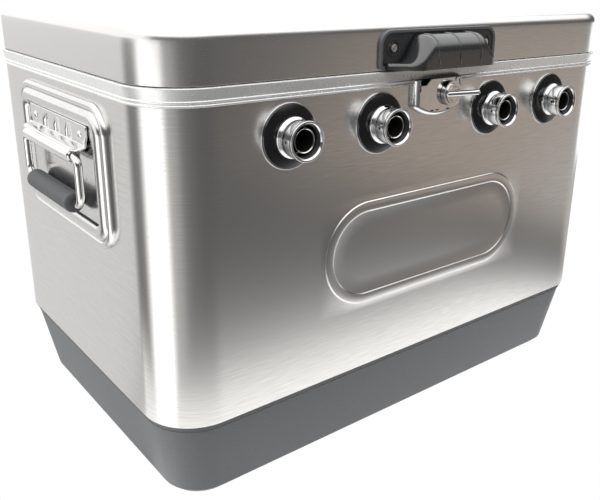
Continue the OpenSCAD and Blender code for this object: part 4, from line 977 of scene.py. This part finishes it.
@dataclass
class LidPull:
    """The moulded pull: back plate with a raised rim, and a hollow cover with three fine ribs."""

    x: float = 1.5
    front: float = FRONT_Y
    z: float = 388.0
    width: float = 159.0
    height: float = 35.0
    plate_t: float = 3.0
    out: float = 28.0
    crown: float = 30.5
    ledge: float = 58.0
    flat: float = 34.0
    cover_w: float = 147.0
    rib_pitch: float = 29.0
    rib_height: float = 0.75
    rib_half: float = 1.1
    end_height: float = 6.0
    end_depth: float = 7.0
    widen_from: float = 78.0
    widen_run: float = 33.0
    corner_top: float = 14.0
    corner_low: float = 4.0
    screw: tuple[float, float] = (63.5, 407.0)

    def outline(self) -> tuple[Array, Array, Array]:
        """Corner centres, outward directions and radii of stations round the back plate."""
        w, h = self.width / 2, self.height
        spots = [(w, 0.0, self.corner_low, -90.0), (w, h, self.corner_top, 0.0),
                 (-w, h, self.corner_top, 90.0), (-w, 0.0, self.corner_low, 180.0)]
        feet, ways, radii = [], [], []
        for px, pz, r, start in spots:
            turn = np.radians(start + np.linspace(0, 90, 13))
            feet.append(np.broadcast_to([px - math.copysign(r, px), pz + (r if pz == 0 else -r)], (13, 2)))
            ways.append(np.stack([np.cos(turn), np.sin(turn)], 1))
            radii.append(np.full(13, r))
        return np.concatenate(feet), np.concatenate(ways), np.concatenate(radii)

    def rings(self, levels: Sequence[tuple[float, float]]) -> Array:
        """Outlines of the plate, each drawn in and raised by its (inward, rise)."""
        feet, ways, radii = self.outline()
        return np.stack([np.concatenate([feet + ways * (radii - inward)[:, None],
                                         np.full((len(feet), 1), rise)], 1) for inward, rise in levels])

    def rim(self) -> Skin:
        """The raised rim round the plate, a closed band with soft edges."""
        band = self.rings([(3.3, 0.0), (0.0, 0.0), (0.0, 2.3), (0.25, 2.8), (0.8, 3.0), (2.3, 3.0),
                           (2.9, 2.8), (3.3, 2.2)])
        return Skin().add_grid(band, close_rows=True, close_cols=True)

    def field(self) -> Skin:
        """The sunken field inside the rim, with a ring boss round each screw."""
        rings = self.rings([(3.2, 0.2), (3.2, 1.5), (3.9, 1.5)])
        feet = self.outline()[0]
        line = np.stack([np.clip(feet[:, 0], -60, 60), np.full(len(feet), self.height / 2),
                         np.full(len(feet), 1.5)], 1)
        skin = Skin().add_grid(np.concatenate([rings, [(rings[2] + line) / 2], [line]]), close_cols=True)
        skin.add_cap(rings[0])
        for s in (-1, 1):
            boss = np.array([[6.4, 1.4], [6.6, 2.2], [7.2, 2.4], [7.8, 2.2], [8.0, 1.4]])
            place = (s * self.screw[0], self.screw[1] - self.z, 0.0)
            skin.joined(revolve(boss, 40).turned(np.eye(3), place))
        return skin

    def cover(self) -> Skin:
        """The cover's outer skin.

        With b(x) the smooth ramp from the ledge to the flat, its height is H = 6 + (crown - 6) b. Its
        depth D = 7 + (out - 7) c takes a wider ramp c(x), from 78 mm to 45 mm. Each section runs out
        level at H, turns down by a quarter circle and drops to the open lower edge at D.
        """
        marks = [np.linspace(-self.cover_w / 2, self.cover_w / 2, 99)]
        centres = [-self.rib_pitch, 0.0, self.rib_pitch]
        marks += [c + np.array([-1.5, -1.1, -0.75, -0.35, 0.0, 0.35, 0.75, 1.1, 1.5]) for c in centres]
        xs = np.unique(np.round(np.concatenate(marks), 3))
        b = smooth_step((self.ledge - np.abs(xs)) / (self.ledge - self.flat))
        c = smooth_step((self.widen_from - np.abs(xs)) / self.widen_run)
        depth = self.end_depth + (self.out - self.end_depth) * c
        high = self.end_height + (self.crown - self.end_height) * b
        bend = np.minimum(0.55 * depth, 0.62 * high)
        lift = sum(self.rib_height * np.sqrt(np.clip(1 - ((xs - mid) / self.rib_half) ** 2, 0, 1))
                   for mid in centres)
        turn = np.radians(np.linspace(90, 0, 15))
        rows = []
        for t in (0.0, 0.5):
            rows.append((self.plate_t - 1 + (depth - bend - self.plate_t + 1) * t, high + lift))
        for a in turn:
            rows.append((depth - bend + (bend + lift) * math.cos(a),
                         high - bend + (bend + lift) * math.sin(a)))
        for t in (0.35, 0.7, 0.92, 1.0):
            fade = 1 - smooth_step(np.float64((t - 0.35) / 0.35))
            rows.append((depth + lift * fade, (high - bend) * (1 - t)))
        grid = np.stack([np.stack([xs, h, d], 1) for d, h in rows])
        skin = Skin().add_grid(grid)
        for loop in (grid[:, 0], grid[:, -1]):
            root = loop.copy()
            root[:, 2] = np.minimum(root[:, 2], self.plate_t - 1)
            skin.add_grid(np.stack([loop, root]))
        return skin

    def build(self) -> None:
        """The mouldings; together they stand for the pull."""
        place = (self.x, self.front, self.z)
        make_piece("pull_plate", self.field().turned(FACING_FRONT, place), CHARCOAL_ABS, "lid",
                   ["lid_pull"], sharp=40)
        # The rim takes a lighter grey: a painted highlight of its rounded edge
        make_piece("pull_rim", self.rim().turned(FACING_FRONT, place), CHARCOAL_PAINTED_HIGHLIGHT, "lid", sharp=40)
        make_piece("pull_cover", self.cover().turned(FACING_FRONT, place), CHARCOAL_GLOSS, "lid",
                   sharp=50, wall=2.2)


@dataclass
class LatchHousing:
    """The pressed latch housing, the painted shade behind it and the wire staple beside the hub."""

    x: float = -1.0
    wall: float = FRONT_Y
    out: float = 7.0
    top: float = SHELL_TOP + 5.5
    bottom: float = 339.5
    width: float = 65.0
    arc_r: float = 58.5
    fold: float = 5.0
    cut_depth: float = 6.0

    def stations(self) -> tuple[Array, Array]:
        """Feet and outward directions down the left side, round the curved lower edge and up again."""
        half, r = self.width / 2 - self.fold, self.arc_r - self.fold
        centre = np.array([0.0, self.bottom + self.arc_r])
        dip = math.degrees(math.asin(half / r))
        low = centre[1] - math.sqrt(r * r - half * half)
        side = np.linspace(self.top, low, 14)[:-1]
        turn = np.radians(np.linspace(180, 270 - dip, 9))
        sweep = np.radians(np.linspace(270 - dip, 270 + dip, 41)[1:-1])
        left_feet = np.concatenate([np.stack([np.full_like(side, -half), side], 1),
                                    np.broadcast_to([-half, low], (9, 2))])
        left_ways = np.concatenate([np.broadcast_to([-1.0, 0.0], (13, 2)),
                                    np.stack([np.cos(turn), np.sin(turn)], 1)])
        ways = np.stack([np.cos(sweep), np.sin(sweep)], 1)
        flip = np.array([-1.0, 1.0])
        return (np.concatenate([left_feet, centre + r * ways, left_feet[::-1] * flip]),
                np.concatenate([left_ways, ways, left_ways[::-1] * flip]))

    def shell(self) -> Skin:
        """Side wall and round fold carried along the stations, and the face above the feet.

        The face's upper edge dips at the left, where the strike is seen.
        """
        feet, ways = self.stations()
        f = self.fold
        profile = np.concatenate([[[f, 0.1], [f, 0.4]], arc((0.0, self.out - f), f, 0, 90, 10)])
        flat = feet[None] + ways[None] * profile[:, 0][:, None, None]
        flat[..., 1] = np.minimum(flat[..., 1], self.top)
        depth = np.broadcast_to(profile[:, 1][:, None, None], flat.shape[:2] + (1,))
        skin = Skin().add_grid(np.concatenate([flat, depth], -1))
        edge = self.top - self.cut_depth * (1 - smooth_step((feet[:, 0] + 20.0) / 8.0))
        edge = np.maximum(edge, feet[:, 1])
        rows = [feet[:, 1] + (edge - feet[:, 1]) * t for t in (0.0, 0.02, 0.25, 0.5, 0.75, 0.97, 1.0)]
        face = np.stack([np.stack([feet[:, 0], z, np.full(len(feet), self.out)], 1) for z in rows])
        return skin.add_grid(face)

    def dark(self) -> Skin:
        """Painted shade: a thin dark pad over the wall inside the housing, and three short dark capsules in
        its face that stand for the shade inside its slots.
        """
        half = self.width / 2 - 2.4
        y = self.wall - 2.0
        low, high = 353.0, self.top - 0.4
        pad = np.array([[[x, y + dy, z] for x in np.linspace(-half, half, 9)]
                        for z, dy in ((low, 0.4), (low, 0.0), (high, 0.0), (high, 0.4))])
        skin = Skin().add_grid(pad + np.array([self.x, 0.0, 0.0]), close_rows=True)
        face = self.wall - self.out + 0.35
        for dx in (-10.0, -3.0, 12.0):
            path = np.array([[self.x + dx - 1.6, face, 345.6], [self.x + dx + 1.6, face, 345.6]])
            skin.joined(tube(path, 0.8, 12))
        return skin

    def staple(self) -> Skin:
        """The wire bent over beside the hub."""
        y = self.wall - self.out - 0.3
        corners = np.array([[20.2, y, 366.0], [20.2, y, 375.4], [25.9, y, 375.8], [27.4, y, 364.0]])
        return tube(rounded_path(corners, (2.4, 2.4), 8), 0.75, 12)

    def build(self) -> None:
        """The three pieces."""
        place = (self.x, self.wall, 0.0)
        make_piece("latch_cover", self.shell().turned(FACING_FRONT, place), BRIGHT_STEEL, "cooler",
                   ["latch_housing"], sharp=60, wall=0.9)
        make_piece("latch_shadow", self.dark(), PAINTED_SHADE, "cooler", sharp=50)
        make_piece("latch_staple", self.staple(), BRIGHT_STEEL, "cooler", sharp=60)


@dataclass
class SideHandle:
    """One end's handle: pressed plate, bracket with its barrel, wire bail and rubber grip."""

    side: Side
    wall: float = 300.0
    off: float = -5.0
    plate_z: float = 298.0
    plate_w: float = 214.0
    plate_h: float = 132.0
    plate_r: float = 28.0
    panel: float = 4.0
    bead_half: tuple[float, float] = (4.2, 7.6)
    broad_at: float = 15.2
    bead_rise: float = 5.4
    groove: float = 2.6
    bail_x: float = 314.0
    bail_z: float = 314.0
    bail_w: float = 137.0
    bail_drop: float = 44.5
    wire: float = 3.75
    bracket_face: float = 305.5
    bracket_top: float = 342.0
    bend_top: float = 324.0
    bracket_w: float = 144.0
    barrel_w: float = 118.0
    barrel_r: float = 6.5
    grip_r: float = 9.5
    grip_w: float = 104.0

    def facing(self) -> Array:
        """Turns a form drawn in (Y, Z, out) to the side's own end of the cooler."""
        return np.array([[0.0, 0.0, float(self.side.value)], [1.0, 0.0, 0.0], [0.0, 1.0, 0.0]])

    def mirrored(self, skin: Skin) -> Skin:
        """A form drawn for the right end, at this side's end."""
        flip = np.diag([float(self.side.value), 1.0, 1.0])
        return skin.turned(flip, (0.0, self.off, 0.0))

    def plate_rise(self, inward: Array) -> Array:
        """Height of the pressed edge: a narrow round bead, a groove, a broad bead, then the panel.

        Args:
            inward: Distances in from the plate's edge.

        Returns:
            The height above the wall at each distance.
        """
        (narrow, broad), middle = self.bead_half, self.broad_at
        bead_1 = self.bead_rise * np.sqrt(np.clip(1 - ((inward - narrow) / narrow) ** 2, 0, 1))
        bead_2 = self.groove + self.bead_rise * np.sqrt(np.clip(1 - ((inward - middle) / broad) ** 2, 0, 1))
        inner = np.where(inward > middle, self.panel, self.groove)
        second = np.where(np.abs(inward - middle) < broad, bead_2, inner)
        second = np.maximum(second, np.where(inward > middle, self.panel, 0.0))
        return np.where(inward < 7.2, smooth_max(bead_1, np.where(inward > 3, self.groove, 0.0), 0.6),
                        smooth_max(second, bead_1, 0.8))

    def plate(self) -> None:
        """The pressed plate: its edge profile carried round the outline, closed by a flat back."""
        feet, ways = rounded_stations(self.plate_w, self.plate_h, self.plate_r, 20,
                                      np.linspace(-79, 79, 21), np.linspace(-38, 38, 11))
        inward = np.concatenate([np.linspace(0, 1.5, 7), np.linspace(1.8, 27.5, 64)])
        rise = self.plate_rise(inward)
        rise[0] = 0.0
        profile = np.stack([self.plate_r - inward, rise], 1)
        skin = Skin().add_grid(sweep_round(feet, ways, profile), close_cols=True)
        skin.add_grid(fill_round(feet, ways, self.plate_r - inward[-1], float(rise[-1])), close_cols=True)
        back = fill_round(feet, ways, self.plate_r, 0.0)
        skin.add_grid(back, close_cols=True)
        skin = skin.turned(self.facing(), (self.side.value * self.wall, self.off, self.plate_z))
        make_piece(f"handle_plate_{self.side.label}", skin, SATIN_STEEL, "cooler",
                   [f"handle_dish_{self.side.label}"], sharp=50)

    def bracket(self) -> None:
        """The bracket: a flat plate that bends out to the barrel, its lower corners rounded.

        Along the bend the half width is 59 + 13 sqrt(1 - t^2), with t from 0 at the bend's start to 1
        at the barrel.
        """
        face, bz = self.bracket_face, self.bail_z
        flat_z = np.array([self.bracket_top, 341.2, 340.0, 336.0, 331.0, 327.0, self.bend_top])
        bend_t = np.linspace(0, 1, 13)[1:]
        bend_x = face + (self.bail_x + 1.0 - face) * smooth_step(bend_t)
        bend_z = self.bend_top + (bz + self.barrel_r - 0.8 - self.bend_top) * bend_t ** 0.8
        sx = np.concatenate([np.full(len(flat_z), face), bend_x])
        sz = np.concatenate([flat_z, bend_z])
        half_top, half_low = self.bracket_w / 2, self.barrel_w / 2
        t = np.concatenate([np.zeros(len(flat_z)), bend_t])
        half = half_low + (half_top - half_low) * np.sqrt(1 - t ** 2)
        half[:2] -= np.array([2.0, 0.6])
        right = np.array([1.3, 10, 20, 26.7, 29.3, 40, 50, 62, 66, 69, 70.8, 72]) / half_top
        ys = np.concatenate([-right[::-1], right])
        y = half[:, None] * ys[None]
        near_edge, below = smooth_step((np.abs(ys) - 0.93) / 0.07), smooth_step((333.0 - sz) / 8.0)
        curl = 1.8 * near_edge[None] * below[:, None]
        grid = np.stack([sx[:, None] + curl, y, np.broadcast_to(sz[:, None], y.shape)], -1)
        quads = grid_quads(len(sz), len(ys))
        middle = grid.reshape(-1, 3)[quads].mean(1)
        slot = np.zeros(len(quads), bool)
        for centre in (-28.0, 0.0, 28.0):
            slot |= ((np.abs(middle[:, 1] - centre) < 1.2) & (middle[:, 2] < 336.0)
                     & (middle[:, 2] > self.bend_top))
        skin = self.mirrored(Skin().add(grid, quads[~slot]))
        label = self.side.label
        plate = make_piece(f"bracket_plate_{label}", skin, BRIGHT_STEEL, "cooler",
                           [f"handle_bracket_{label}"], sharp=40)
        sheet = plate.modifiers.new("sheet", "SOLIDIFY")
        sheet.thickness, sheet.offset = 1.4 * MM, 0.0
        r, bore, w = self.barrel_r, self.wire + 0.05, self.barrel_w / 2
        profile = np.concatenate([[[bore, -w + 0.8]], arc((r - 0.8, -w + 0.8), 0.8, -90, 0, 4),
                                  arc((r - 0.8, w - 0.8), 0.8, 0, 90, 4), [[bore, w - 0.8]]])
        barrel = revolve(profile, 40).turned(ALONG_Y, (self.bail_x, 0.0, bz))
        make_piece(f"bracket_barrel_{label}", self.mirrored(barrel), BRIGHT_STEEL, "cooler")

    def bail(self) -> None:
        """The bent wire, from stub to stub through its two legs, and the ribbed grip on it."""
        x, w, z0, z1 = self.bail_x, self.bail_w / 2, self.bail_z - self.bail_drop, self.bail_z
        corners = np.array([[x, w - 34, z1], [x, w, z1], [x, w, z0], [x, -w, z0], [x, -w, z1],
                            [x, -w + 34, z1]])
        path = rounded_path(corners, (8.0, 12.0, 12.0, 8.0), 10)
        body = f"{self.side.label}_bail"
        make_piece(f"wire_bail_{self.side.label}", self.mirrored(tube(path, self.wire, 24)),
                   BRIGHT_STEEL, body, [f"bail_{self.side.label}"], sharp=50)
        r, w, bore = self.grip_r, self.grip_w / 2, self.wire
        t = np.linspace(-w + 3.5, w - 3.5, 200)
        ribs = r - 0.55 * (0.5 - 0.5 * np.cos(TAU * t / 5.2)) ** 6 * (np.abs(t) < w - 5)
        profile = np.concatenate([[[bore, -w + 1.2], [r - 2.2, -w]],
                                  arc((r - 2.2, -w + 2.2), 2.2, -90, 0, 5), np.stack([ribs, t], 1),
                                  arc((r - 2.2, w - 2.2), 2.2, 0, 90, 5), [[bore, w - 1.2]]])
        grip = revolve(profile, 40).turned(ALONG_Y, (x, 0.0, z0))
        make_piece(f"rubber_grip_{self.side.label}", self.mirrored(grip), GREY_RUBBER, body,
                   [f"grip_{self.side.label}"])

    def build(self) -> None:
        """All pieces of this handle."""
        self.plate()
        self.bracket()
        self.bail()


# ---------------------------------------------------------------- studio


@dataclass
class Studio:
    """Camera, white floor, soft light and the cards that only reflections see."""

    eye: tuple[float, float, float] = (-532.8, -691.2, 471.8)
    heading: float = 39.666
    pitch: float = 18.645
    roll: float = 1.214
    focal_px: float = 732.57
    centre_px: tuple[float, float] = (337.21, 218.58)
    frame_px: tuple[float, float] = (600.0, 500.0)
    floor_half: float = 14.0
    dark_front: float = 0.12
    back: float = 1.35
    overhead: float = 1.8
    bounce: float = 0.65
    mirror_gain: float = 1.8

    def camera(self) -> None:
        """The photograph's camera: a 36 mm wide sensor whose lens is off the middle."""
        a, e, r = (math.radians(v) for v in (self.heading, self.pitch, self.roll))
        ahead = Vector((math.sin(a) * math.cos(e), math.cos(a) * math.cos(e), -math.sin(e)))
        right = Vector((math.cos(a), -math.sin(a), 0.0))
        up = right.cross(ahead)
        c, s = math.cos(r), math.sin(r)
        right, up = c * right + s * up, c * up - s * right
        data = bpy.data.cameras.new("camera")
        data.sensor_width = 36.0
        data.lens = self.focal_px / self.frame_px[0] * 36.0
        data.shift_x = (self.frame_px[0] / 2 - self.centre_px[0]) / self.frame_px[0]
        data.shift_y = (self.centre_px[1] - self.frame_px[1] / 2) / self.frame_px[0]
        cam = bpy.data.objects.new("camera", data)
        turn = Matrix((right, up, -ahead)).transposed().to_4x4()
        cam.matrix_world = Matrix.Translation(Vector(self.eye) * MM) @ turn
        bpy.context.scene.collection.objects.link(cam)
        bpy.context.scene.camera = cam

    def world(self) -> None:
        """White to the camera; to the object dark in front, bright behind, overhead and from below."""
        world = bpy.data.worlds.new("soft_studio")
        bpy.context.scene.world = world
        world.use_nodes = True
        tree = world.node_tree
        tree.nodes.clear()
        way = add_node(tree, "ShaderNodeTexCoord").outputs["Generated"]
        light: Any = self.dark_front
        lobes = (((-0.3, 0.95, 0.1), -0.12, 0.4, self.back), ((0.0, 0.0, 1.0), 0.3, 0.6, self.overhead),
                 ((-0.5, 0.2, -0.85), 0.05, 0.95, self.bounce))
        for direction, low, high, gain in lobes:
            unit = Vector(direction).normalized()
            dot = add_node(tree, "ShaderNodeVectorMath", {0: way, 1: unit}, operation="DOT_PRODUCT")
            lobe = add_node(tree, "ShaderNodeMapRange", {
                "Value": dot.outputs["Value"], "From Min": low, "From Max": high, "To Min": 0.0,
                "To Max": gain}, interpolation_type="SMOOTHSTEP")
            light = add_node(tree, "ShaderNodeMath", {0: lobe.outputs[0], 1: light},
                             operation="MAXIMUM").outputs[0]
        soft = add_node(tree, "ShaderNodeBackground", {"Color": light, "Strength": 1.0})
        white = add_node(tree, "ShaderNodeBackground", {"Color": (1, 1, 1, 1), "Strength": 1.0})
        seen = add_node(tree, "ShaderNodeLightPath").outputs["Is Camera Ray"]
        mix = add_node(tree, "ShaderNodeMixShader", {0: seen, 1: soft.outputs[0], 2: white.outputs[0]})
        add_node(tree, "ShaderNodeOutputWorld", {"Surface": mix.outputs[0]})

    def plane(self, name: str, z: float, mat: bpy.types.Material) -> bpy.types.Object:
        """A wide level plane that belongs to the stage.

        Args:
            name: The plane's name.
            z: Its height in metres.
            mat: Its material.

        Returns:
            The Blender object.
        """
        h = self.floor_half
        mesh = bpy.data.meshes.new(name)
        mesh.from_pydata([(-h, -h, z), (h, -h, z), (h, h, z), (-h, h, z)], [], [(0, 1, 2, 3)])
        mesh.materials.append(mat)
        plane = bpy.data.objects.new(name, mesh)
        bpy.context.scene.collection.objects.link(plane)
        return plane

    def glow(self, name: str, colour: str, strength: float) -> bpy.types.Material:
        """An even emitter.

        Args:
            name: The material's name.
            colour: Its sRGB hex colour.
            strength: Its brightness.

        Returns:
            The material.
        """
        mat = empty_material(name)
        tree = mat.node_tree
        shade = add_node(tree, "ShaderNodeEmission", {"Color": linear(colour), "Strength": strength})
        add_node(tree, "ShaderNodeOutputMaterial", {"Surface": shade.outputs[0]})
        return mat

    def floor_card(self) -> bpy.types.Material:
        """What the steel mirrors of the floor, as the larger of two patterns.

        The near pattern is bright at the cooler's foot and fades over half a metre; a bright patch over
        a metre to the right joins it. The far pattern changes with the direction from the front left
        corner, so that upright bands show there, and turns from dark to a warm grey towards the right
        of the front.
        """
        mat = empty_material("mirrored_floor")
        tree = mat.node_tree
        place = add_node(tree, "ShaderNodeTexCoord").outputs["Object"]
        corner_x, corner_y = (BODY_W / 2 - BODY_CORNER) * MM, (BODY_D / 2 - BODY_CORNER) * MM
        wall, span = BODY_CORNER * MM, 2.0
        centre = add_node(tree, "ShaderNodeVectorMath", {0: place, 1: (-corner_x, -corner_y, 0.0)},
                          operation="SUBTRACT")
        split = add_node(tree, "ShaderNodeSeparateXYZ", {0: centre.outputs[0]})
        angle = add_node(tree, "ShaderNodeMath", {0: split.outputs["Y"], 1: split.outputs["X"]},
                         operation="ARCTAN2")
        share = add_node(tree, "ShaderNodeMapRange", {
            "Value": angle.outputs[0], "From Min": -math.pi, "From Max": math.pi})
        sector = self.ramp(tree, share.outputs[0], [
            (self.turn_share(v), shade) for v, shade in (
                (-180, 1.0), (-155, 0.98), (-150, 0.6), (-146, 0.33), (-140, 0.3), (-131, 0.25),
                (-121, 0.14), (-110, 0.1), (-89, 0.07), (-20, 0.07), (25, 0.2), (60, 0.45), (120, 0.45),
                (128, 0.28), (138, 0.1), (155, 0.12), (162, 0.5), (168, 0.9), (174, 1.0), (180, 1.0))])
        flat = add_node(tree, "ShaderNodeVectorMath", {0: place}, operation="ABSOLUTE")
        beyond = add_node(tree, "ShaderNodeVectorMath", {0: flat.outputs[0], 1: (corner_x, corner_y, 1.0)},
                          operation="SUBTRACT")
        outside = add_node(tree, "ShaderNodeVectorMath", {0: beyond.outputs[0], 1: (0.0, 0.0, 0.0)},
                           operation="MAXIMUM")
        reach = add_node(tree, "ShaderNodeVectorMath", {0: outside.outputs[0]}, operation="LENGTH")
        distance = add_node(tree, "ShaderNodeMapRange", {
            "Value": reach.outputs["Value"], "From Min": wall, "From Max": wall + span})
        near = self.ramp(tree, distance.outputs[0], [
            (d / span, shade) for d, shade in (
                (0.0, 0.86), (0.12, 0.8), (0.15, 0.72), (0.18, 0.58), (0.21, 0.42), (0.25, 0.26),
                (0.3, 0.16), (0.36, 0.115), (0.44, 0.085), (0.55, 0.07), (0.68, 0.062), (0.8, 0.062),
                (2.0, 0.062))])
        reached = self.ramp(tree, share.outputs[0], [
            (self.turn_share(v), shade) for v, shade in (
                (-180, 1.0), (0, 1.0), (25, 0.3), (60, 0.0), (124, 0.0), (134, 0.8), (180, 1.0))])
        foot = add_node(tree, "ShaderNodeMath", {0: near, 1: reached}, operation="MULTIPLY").outputs[0]
        distant = self.ramp(tree, distance.outputs[0], [(0.53, 0.0), (0.56, 0.85), (1.0, 0.85)])
        wedge = self.ramp(tree, share.outputs[0], [
            (self.turn_share(v), shade) for v, shade in (
                (-180, 0.0), (-14, 0.0), (-6, 1.0), (45, 1.0), (55, 0.0), (180, 0.0))])
        window = add_node(tree, "ShaderNodeMath", {0: distant, 1: wedge}, operation="MULTIPLY").outputs[0]
        lit = add_node(tree, "ShaderNodeMath", {0: foot, 1: window}, operation="MAXIMUM").outputs[0]
        shift = self.ramp(tree, distance.outputs[0], [
            (d / span, degrees / 60) for d, degrees in (
                (0.0, 0), (0.3, 4), (0.45, 12), (0.6, 24), (0.86, 46), (1.2, 54), (2.0, 46))])
        turned = add_node(tree, "ShaderNodeMath", {0: angle.outputs[0], 1: math.degrees(1.0)},
                          operation="MULTIPLY")
        moved = add_node(tree, "ShaderNodeMath", {0: shift, 1: 60.0, 2: turned.outputs[0]},
                         operation="MULTIPLY_ADD")
        warm = add_node(tree, "ShaderNodeMapRange", {
            "Value": moved.outputs[0], "From Min": -14.0, "From Max": 10.0, "To Min": 0.0, "To Max": 1.0},
            interpolation_type="SMOOTHSTEP")
        right = add_node(tree, "ShaderNodeMapRange", {
            "Value": turned.outputs[0], "From Min": -30.0, "From Max": -22.0})
        tan = add_node(tree, "ShaderNodeMix", {
            0: right.outputs[0], 6: (0.262, 0.227, 0.2, 1.0), 7: (0.32, 0.31, 0.303, 1.0)},
            data_type="RGBA")
        ahead = self.ramp(tree, share.outputs[0], [
            (self.turn_share(v), shade) for v, shade in (
                (-180, 0.0), (-120, 0.0), (-100, 1.0), (0, 1.0), (25, 0.0), (180, 0.0))])
        part = add_node(tree, "ShaderNodeMath", {0: warm.outputs[0], 1: ahead}, operation="MULTIPLY")
        far = add_node(tree, "ShaderNodeMix", {0: part.outputs[0], 6: sector, 7: tan.outputs[2]},
                       data_type="RGBA")
        both = add_node(tree, "ShaderNodeMix", {0: 1.0, 6: far.outputs[2], 7: lit},
                        data_type="RGBA", blend_type="LIGHTEN")
        shade = add_node(tree, "ShaderNodeEmission", {
            "Color": both.outputs[2], "Strength": self.mirror_gain})
        add_node(tree, "ShaderNodeOutputMaterial", {"Surface": shade.outputs[0]})
        return mat

    @staticmethod
    def turn_share(degrees: float) -> float:
        """An angle from -180 to 180 degrees as a share from 0 to 1."""
        return (degrees + 180.0) / 360.0

    @staticmethod
    def ramp(tree: bpy.types.NodeTree, value: Any, stops: Sequence[tuple[float, float]]) -> Any:
        """A colour ramp of greys.

        Args:
            tree: The node tree.
            value: The socket that drives the ramp.
            stops: Rows of (place, brightness).

        Returns:
            The ramp's colour socket.
        """
        made = add_node(tree, "ShaderNodeValToRGB", {0: value})
        elements = made.color_ramp.elements
        elements.remove(elements[1])
        for number, (place, grey) in enumerate(stops):
            element = elements.new(place) if number else elements[0]
            element.position = place
            element.color = (grey, grey, grey, 1.0)
        return made.outputs["Color"]

    def build(self) -> None:
        """Camera, world, floor and mirrored floor."""
        scene = bpy.context.scene
        scene.view_settings.view_transform = "Standard"
        self.camera()
        self.world()
        floor = self.plane("studio_floor", -0.0005, self.glow("floor_white", "#ffffff", 1.0))
        floor.visible_diffuse = floor.visible_glossy = floor.visible_transmission = False
        floor.visible_shadow = False
        card = self.plane("mirrored_floor", -0.001, self.floor_card())
        card.visible_camera = card.visible_diffuse = card.visible_transmission = False
        card.visible_shadow = False


# ---------------------------------------------------------------- main


SMOOTH_NODES = (
    "base_pan", "inner_liner", "hinge_body_leaves", "hinge_lid_leaves", "hinge_pins",
    "latch_rivets", "latch_lever", "lid_liner", "lid_pull_screws", "drain_spout", "drain_cap",
    "inlet_bulkheads", "inlet_nuts", "beer_line_1", "beer_line_2", "beer_line_3", "beer_line_4",
    "supply_lines", "cold_plate", "plate_fittings", "shank_locknuts", "shank_seals", "tail_pieces",
    "tail_nuts", "inlet_seals", "handle_rivets", "hinge_body_screws", "hinge_lid_screws", "lid_gasket",
)


def corners(box: tuple[Vector, Vector]) -> list[list[float]]:
    """A box's two corners as plain lists."""
    return [list(box[0]), list(box[1])]


def main() -> None:
    """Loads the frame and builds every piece."""
    logging.basicConfig(level=logging.INFO, format="%(name)s: %(message)s")
    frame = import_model()
    Studio().build()
    slots = {row["node"]: row["material_slot"] for row in frame["record"]["subparts"]}
    SteelBody().build()
    SteelLid().build()
    RimTrim().build()
    BaseBead().build()
    for number, x in enumerate(TAP_XS, 1):
        Tap(number, x).build()
    FlangeRings().build()
    LidPull().build()
    LatchHousing().build()
    for side in Side:
        SideHandle(side).build()
    for node in SMOOTH_NODES:
        smooth_node(frame, node, BY_SLOT[slots[node]])
    for node, obj in frame["nodes"].items():
        if not obj.hide_render:
            obj.data.materials.clear()
            obj.data.materials.append(BY_SLOT[slots[node]].material())
            log.info("%s keeps its CAD shape", node)


if __name__ == "__main__":
    main()
